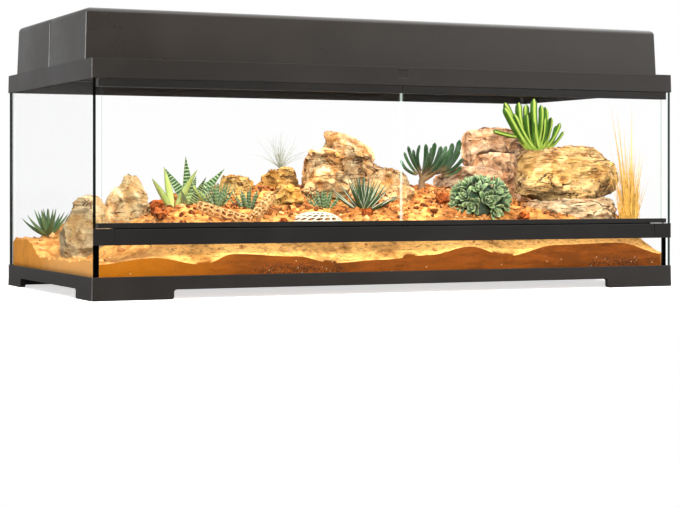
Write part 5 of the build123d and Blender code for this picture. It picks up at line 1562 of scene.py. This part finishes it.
@dataclass
class PiercedDome:
    """The pale ceramic dome with rows of oval holes."""

    look: Bisque = Bisque("ceramic_look", (0.60, 0.55, 0.42), (0.30, 0.13, 0.05), (-0.095, -0.138, 0.0869),
                          (0.044, 0.043, 0.028))
    around: int = 18
    rows: int = 5
    wall: float = 0.0018

    def build(self) -> None:
        """Builds the dome from staggered rings, opens its faces and rounds the rims."""
        low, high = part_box("perforated_dome")
        centre = Vector((0.5 * (low.x + high.x), 0.5 * (low.y + high.y), low.z))
        radius = 0.5 * (high.x - low.x) - self.wall / 2
        height = high.z - low.z - self.wall / 2
        bm = bmesh.new()
        made = bmesh.ops.create_grid(bm, x_segments=self.rows, y_segments=self.around, size=1.0)["verts"]
        for vert in made:
            row = round((vert.co.x + 1) / 2 * self.rows)
            angle = math.pi * (vert.co.y + 1) + 0.5 * math.tau / self.around * row
            up = math.radians(4 + 72 * row / self.rows)
            out = radius * math.cos(up) ** 0.8
            vert.co = centre + Vector((out * math.cos(angle), out * math.sin(angle), height * math.sin(up) / 1.0))
        bmesh.ops.remove_doubles(bm, verts=made, dist=0.0001)
        walls = list(bm.faces)
        bmesh.ops.recalc_face_normals(bm, faces=walls)
        bmesh.ops.inset_individual(bm, faces=walls, thickness=0.0008, use_even_offset=True)
        bmesh.ops.delete(bm, geom=walls, context="FACES")
        self._cap(bm, centre, height)
        piece = finish_piece("dome_pierced", bm, self.look.make(), ["perforated_dome"])
        wall = piece.modifiers.new("wall", "SOLIDIFY")
        wall.thickness = self.wall
        round_off = piece.modifiers.new("round", "SUBSURF")
        round_off.levels = round_off.render_levels = 2
        applied(piece)

    def _cap(self, bm: bmesh.types.BMesh, centre: Vector, height: float) -> None:
        """Closes the crown above the last row of holes."""
        top = max(vert.co.z for vert in bm.verts)
        rim = [edge for edge in bm.edges if edge.is_boundary and all(v.co.z > top - 0.0002 for v in edge.verts)]
        crown = bmesh.ops.extrude_edge_only(bm, edges=rim)["geom"]
        verts = [item for item in crown if isinstance(item, bmesh.types.BMVert)]
        for vert in verts:
            vert.co = centre + Vector(((vert.co.x - centre.x) * 0.45, (vert.co.y - centre.y) * 0.45, height))
        bmesh.ops.contextual_create(bm, geom=verts)


# --------------------------------------------------------------------- studio
@dataclass
class Studio:
    """Camera, floor, world and lamps."""

    camera_place: Point = (-1.1298, -2.5587, 0.1508)
    camera_turn: float = -24.93
    lens: float = 97.83
    shift: tuple[float, float] = (-0.0499, -0.0997)

    def build(self) -> None:
        """Sets up everything round the object."""
        scene = bpy.context.scene
        scene.view_settings.view_transform = "Standard"
        self._camera(scene)
        self._world(scene)
        self._floor()
        self._lamp("key", (-0.55, -1.85, 1.15), (0.0, 0.0, 0.14), 0.4, 58.0, (1.0, 0.97, 0.92))
        self._lamp("front_low", (-0.4, -2.4, 0.30), (0.0, -0.2, 0.07), 1.2, 42.0, WHITE)
        self._lamp("fill_right", (2.3, -2.1, 1.0), (0.2, 0.0, 0.15), 1.8, 16.0, WHITE)
        self._lamp("back_light", (-0.6, 2.2, 1.5), (0.0, 0.0, 0.2), 1.6, 30.0, WHITE)
        self._panel()

    def _camera(self, scene: bpy.types.Scene) -> None:
        """Stands the camera at the photograph's viewing angle."""
        data = bpy.data.cameras.new("camera")
        data.lens = self.lens
        data.shift_x, data.shift_y = self.shift
        camera = bpy.data.objects.new("camera", data)
        camera.location = self.camera_place
        camera.rotation_euler = (math.radians(90), 0, math.radians(self.camera_turn))
        scene.collection.objects.link(camera)
        scene.camera = camera

    def _world(self, scene: bpy.types.Scene) -> None:
        """White to the eye and through glass; a soft studio to lamps and gloss."""
        world = bpy.data.worlds.new("studio_world")
        world.use_nodes = True
        world.node_tree.nodes.clear()
        graph = Graph(world.node_tree)
        rays = graph.add("ShaderNodeLightPath")
        seen = graph.math("MAXIMUM", rays.outputs["Is Camera Ray"], rays.outputs["Is Transmission Ray"])
        sky = graph.add("ShaderNodeTexCoord").outputs["Generated"]
        way = graph.add("ShaderNodeSeparateXYZ", {0: sky})
        behind = graph.spread(way.outputs[1], 0.2, 0.95, 0.08, 0.55)
        right = graph.spread(way.outputs[0], 0.20, 0.70, 0.0, 1.9)
        left_strip = graph.spread(way.outputs[0], -0.80, -0.95, 0.0, 11.0)
        overhead = graph.spread(way.outputs[2], 0.45, 0.85, 0.0, 2.6)
        glow = graph.math("ADD", graph.math("ADD", behind, right), graph.math("ADD", left_strip, overhead))
        mirrored = graph.add("ShaderNodeCombineColor", {0: glow, 1: glow, 2: glow}).outputs[0]
        lit = graph.mix(rays.outputs["Is Glossy Ray"], (0.32, 0.32, 0.325), mirrored)
        colour = graph.mix(seen, lit, WHITE)
        back = graph.add("ShaderNodeBackground", {"Color": colour, "Strength": 1.0})
        graph.add("ShaderNodeOutputWorld", {"Surface": back.outputs[0]})
        scene.world = world

    def _floor(self) -> None:
        """A pale floor that reads white and keeps the object's shadow."""
        made, graph, shader = surface("studio_floor", Roughness=0.9, Base_Color=(0.85, 0.85, 0.85))
        fine = graph.noise(3.0, 3.0)
        graph.feed(shader.inputs["Base Color"], graph.mix(fine, (0.86, 0.86, 0.86), (0.88, 0.88, 0.88)))
        rays = graph.add("ShaderNodeLightPath")
        seen = graph.math("MAXIMUM", rays.outputs["Is Camera Ray"], rays.outputs["Is Transmission Ray"])
        away = graph.add("ShaderNodeVectorMath", {0: graph.place()}, operation="LENGTH").outputs["Value"]
        glow = graph.add("ShaderNodeEmission", {"Color": WHITE, "Strength": graph.math("MULTIPLY", seen, 0.66)})
        near = graph.add("ShaderNodeAddShader", {0: shader.outputs[0], 1: glow.outputs[0]})
        white = graph.add("ShaderNodeEmission", {"Color": WHITE, "Strength": 1.0})
        both = graph.add("ShaderNodeMixShader", {0: graph.math("MULTIPLY", seen, graph.spread(away, 0.56, 0.95)),
                                                 1: near.outputs[0], 2: white.outputs[0]})
        mirrored = graph.add("ShaderNodeEmission", {"Color": WHITE, "Strength": 0.13})
        glossy = graph.math("MULTIPLY", rays.outputs["Is Glossy Ray"],
                            graph.math("SUBTRACT", 1.0, rays.outputs["Is Transmission Ray"]))
        whole = graph.add("ShaderNodeMixShader", {0: glossy, 1: both.outputs[0],
                                                  2: mirrored.outputs[0]})
        out = next(node for node in graph.tree.nodes if node.type == "OUTPUT_MATERIAL")
        graph.feed(out.inputs["Surface"], whole.outputs[0])
        bm = bmesh.new()
        bmesh.ops.create_grid(bm, x_segments=4, y_segments=4, size=40.0)
        mesh = bpy.data.meshes.new("floor")
        bm.to_mesh(mesh)
        bm.free()
        mesh.materials.append(made)
        floor = bpy.data.objects.new("floor", mesh)
        bpy.context.scene.collection.objects.link(floor)

    def _lamp(self, name: str, place: Point, aim: Point, size: float, power: float, colour: Colour) -> None:
        """Adds one square soft lamp that points at a place."""
        data = bpy.data.lights.new(name, "AREA")
        data.size = size
        data.energy = power
        data.color = colour
        lamp = bpy.data.objects.new(name, data)
        lamp.location = place
        lamp.rotation_euler = (Vector(aim) - Vector(place)).to_track_quat("-Z", "Y").to_euler()
        lamp.visible_camera = False
        lamp.visible_glossy = False
        bpy.context.scene.collection.objects.link(lamp)

    def _panel(self) -> None:
        """A soft panel under the screen, as if the hoods' lamps were on."""
        data = bpy.data.lights.new("under_screen_panel", "AREA")
        data.shape = "RECTANGLE"
        data.size, data.size_y = 0.84, 0.40
        data.energy = 4.0
        panel = bpy.data.objects.new("under_screen_panel", data)
        panel.location = (0.0, 0.0, 0.302)
        panel.visible_camera = False
        panel.visible_glossy = False
        panel.visible_transmission = False
        bpy.context.scene.collection.objects.link(panel)


def main() -> None:
    """Builds the terrarium's looks in order."""
    logging.basicConfig(level=logging.INFO, format="%(name)s %(relativeCreated)d ms: %(message)s")
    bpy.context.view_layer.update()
    assemblies = (
        Studio(), Housing(), Glazing(), LampHood("front_hood"), LampHood("rear_hood"), ScreenTop(),
        SandBed(), Rocks(), Haworthias(), StripedAloe(), EdgedAgave(), Echeverias(),
        FingerBush("fingers_dark", "finger_succulent", "blue_leaf", DARK_FINGERS, DARK_STEMS, DARK_TIPS, 0.0072, 0.9, 31),
        FingerBush("fingers_bright", "finger_jade", "bright_leaf", BRIGHT_FINGERS, BRIGHT_STEMS, BRIGHT_TIPS,
                   0.0080, 0.5, 37),
        Grasses(), ChollaWood(), PiercedDome())
    for assembly in assemblies:
        assembly.build()
        log.info("finished %s", type(assembly).__name__)


if __name__ == "__main__":
    main()
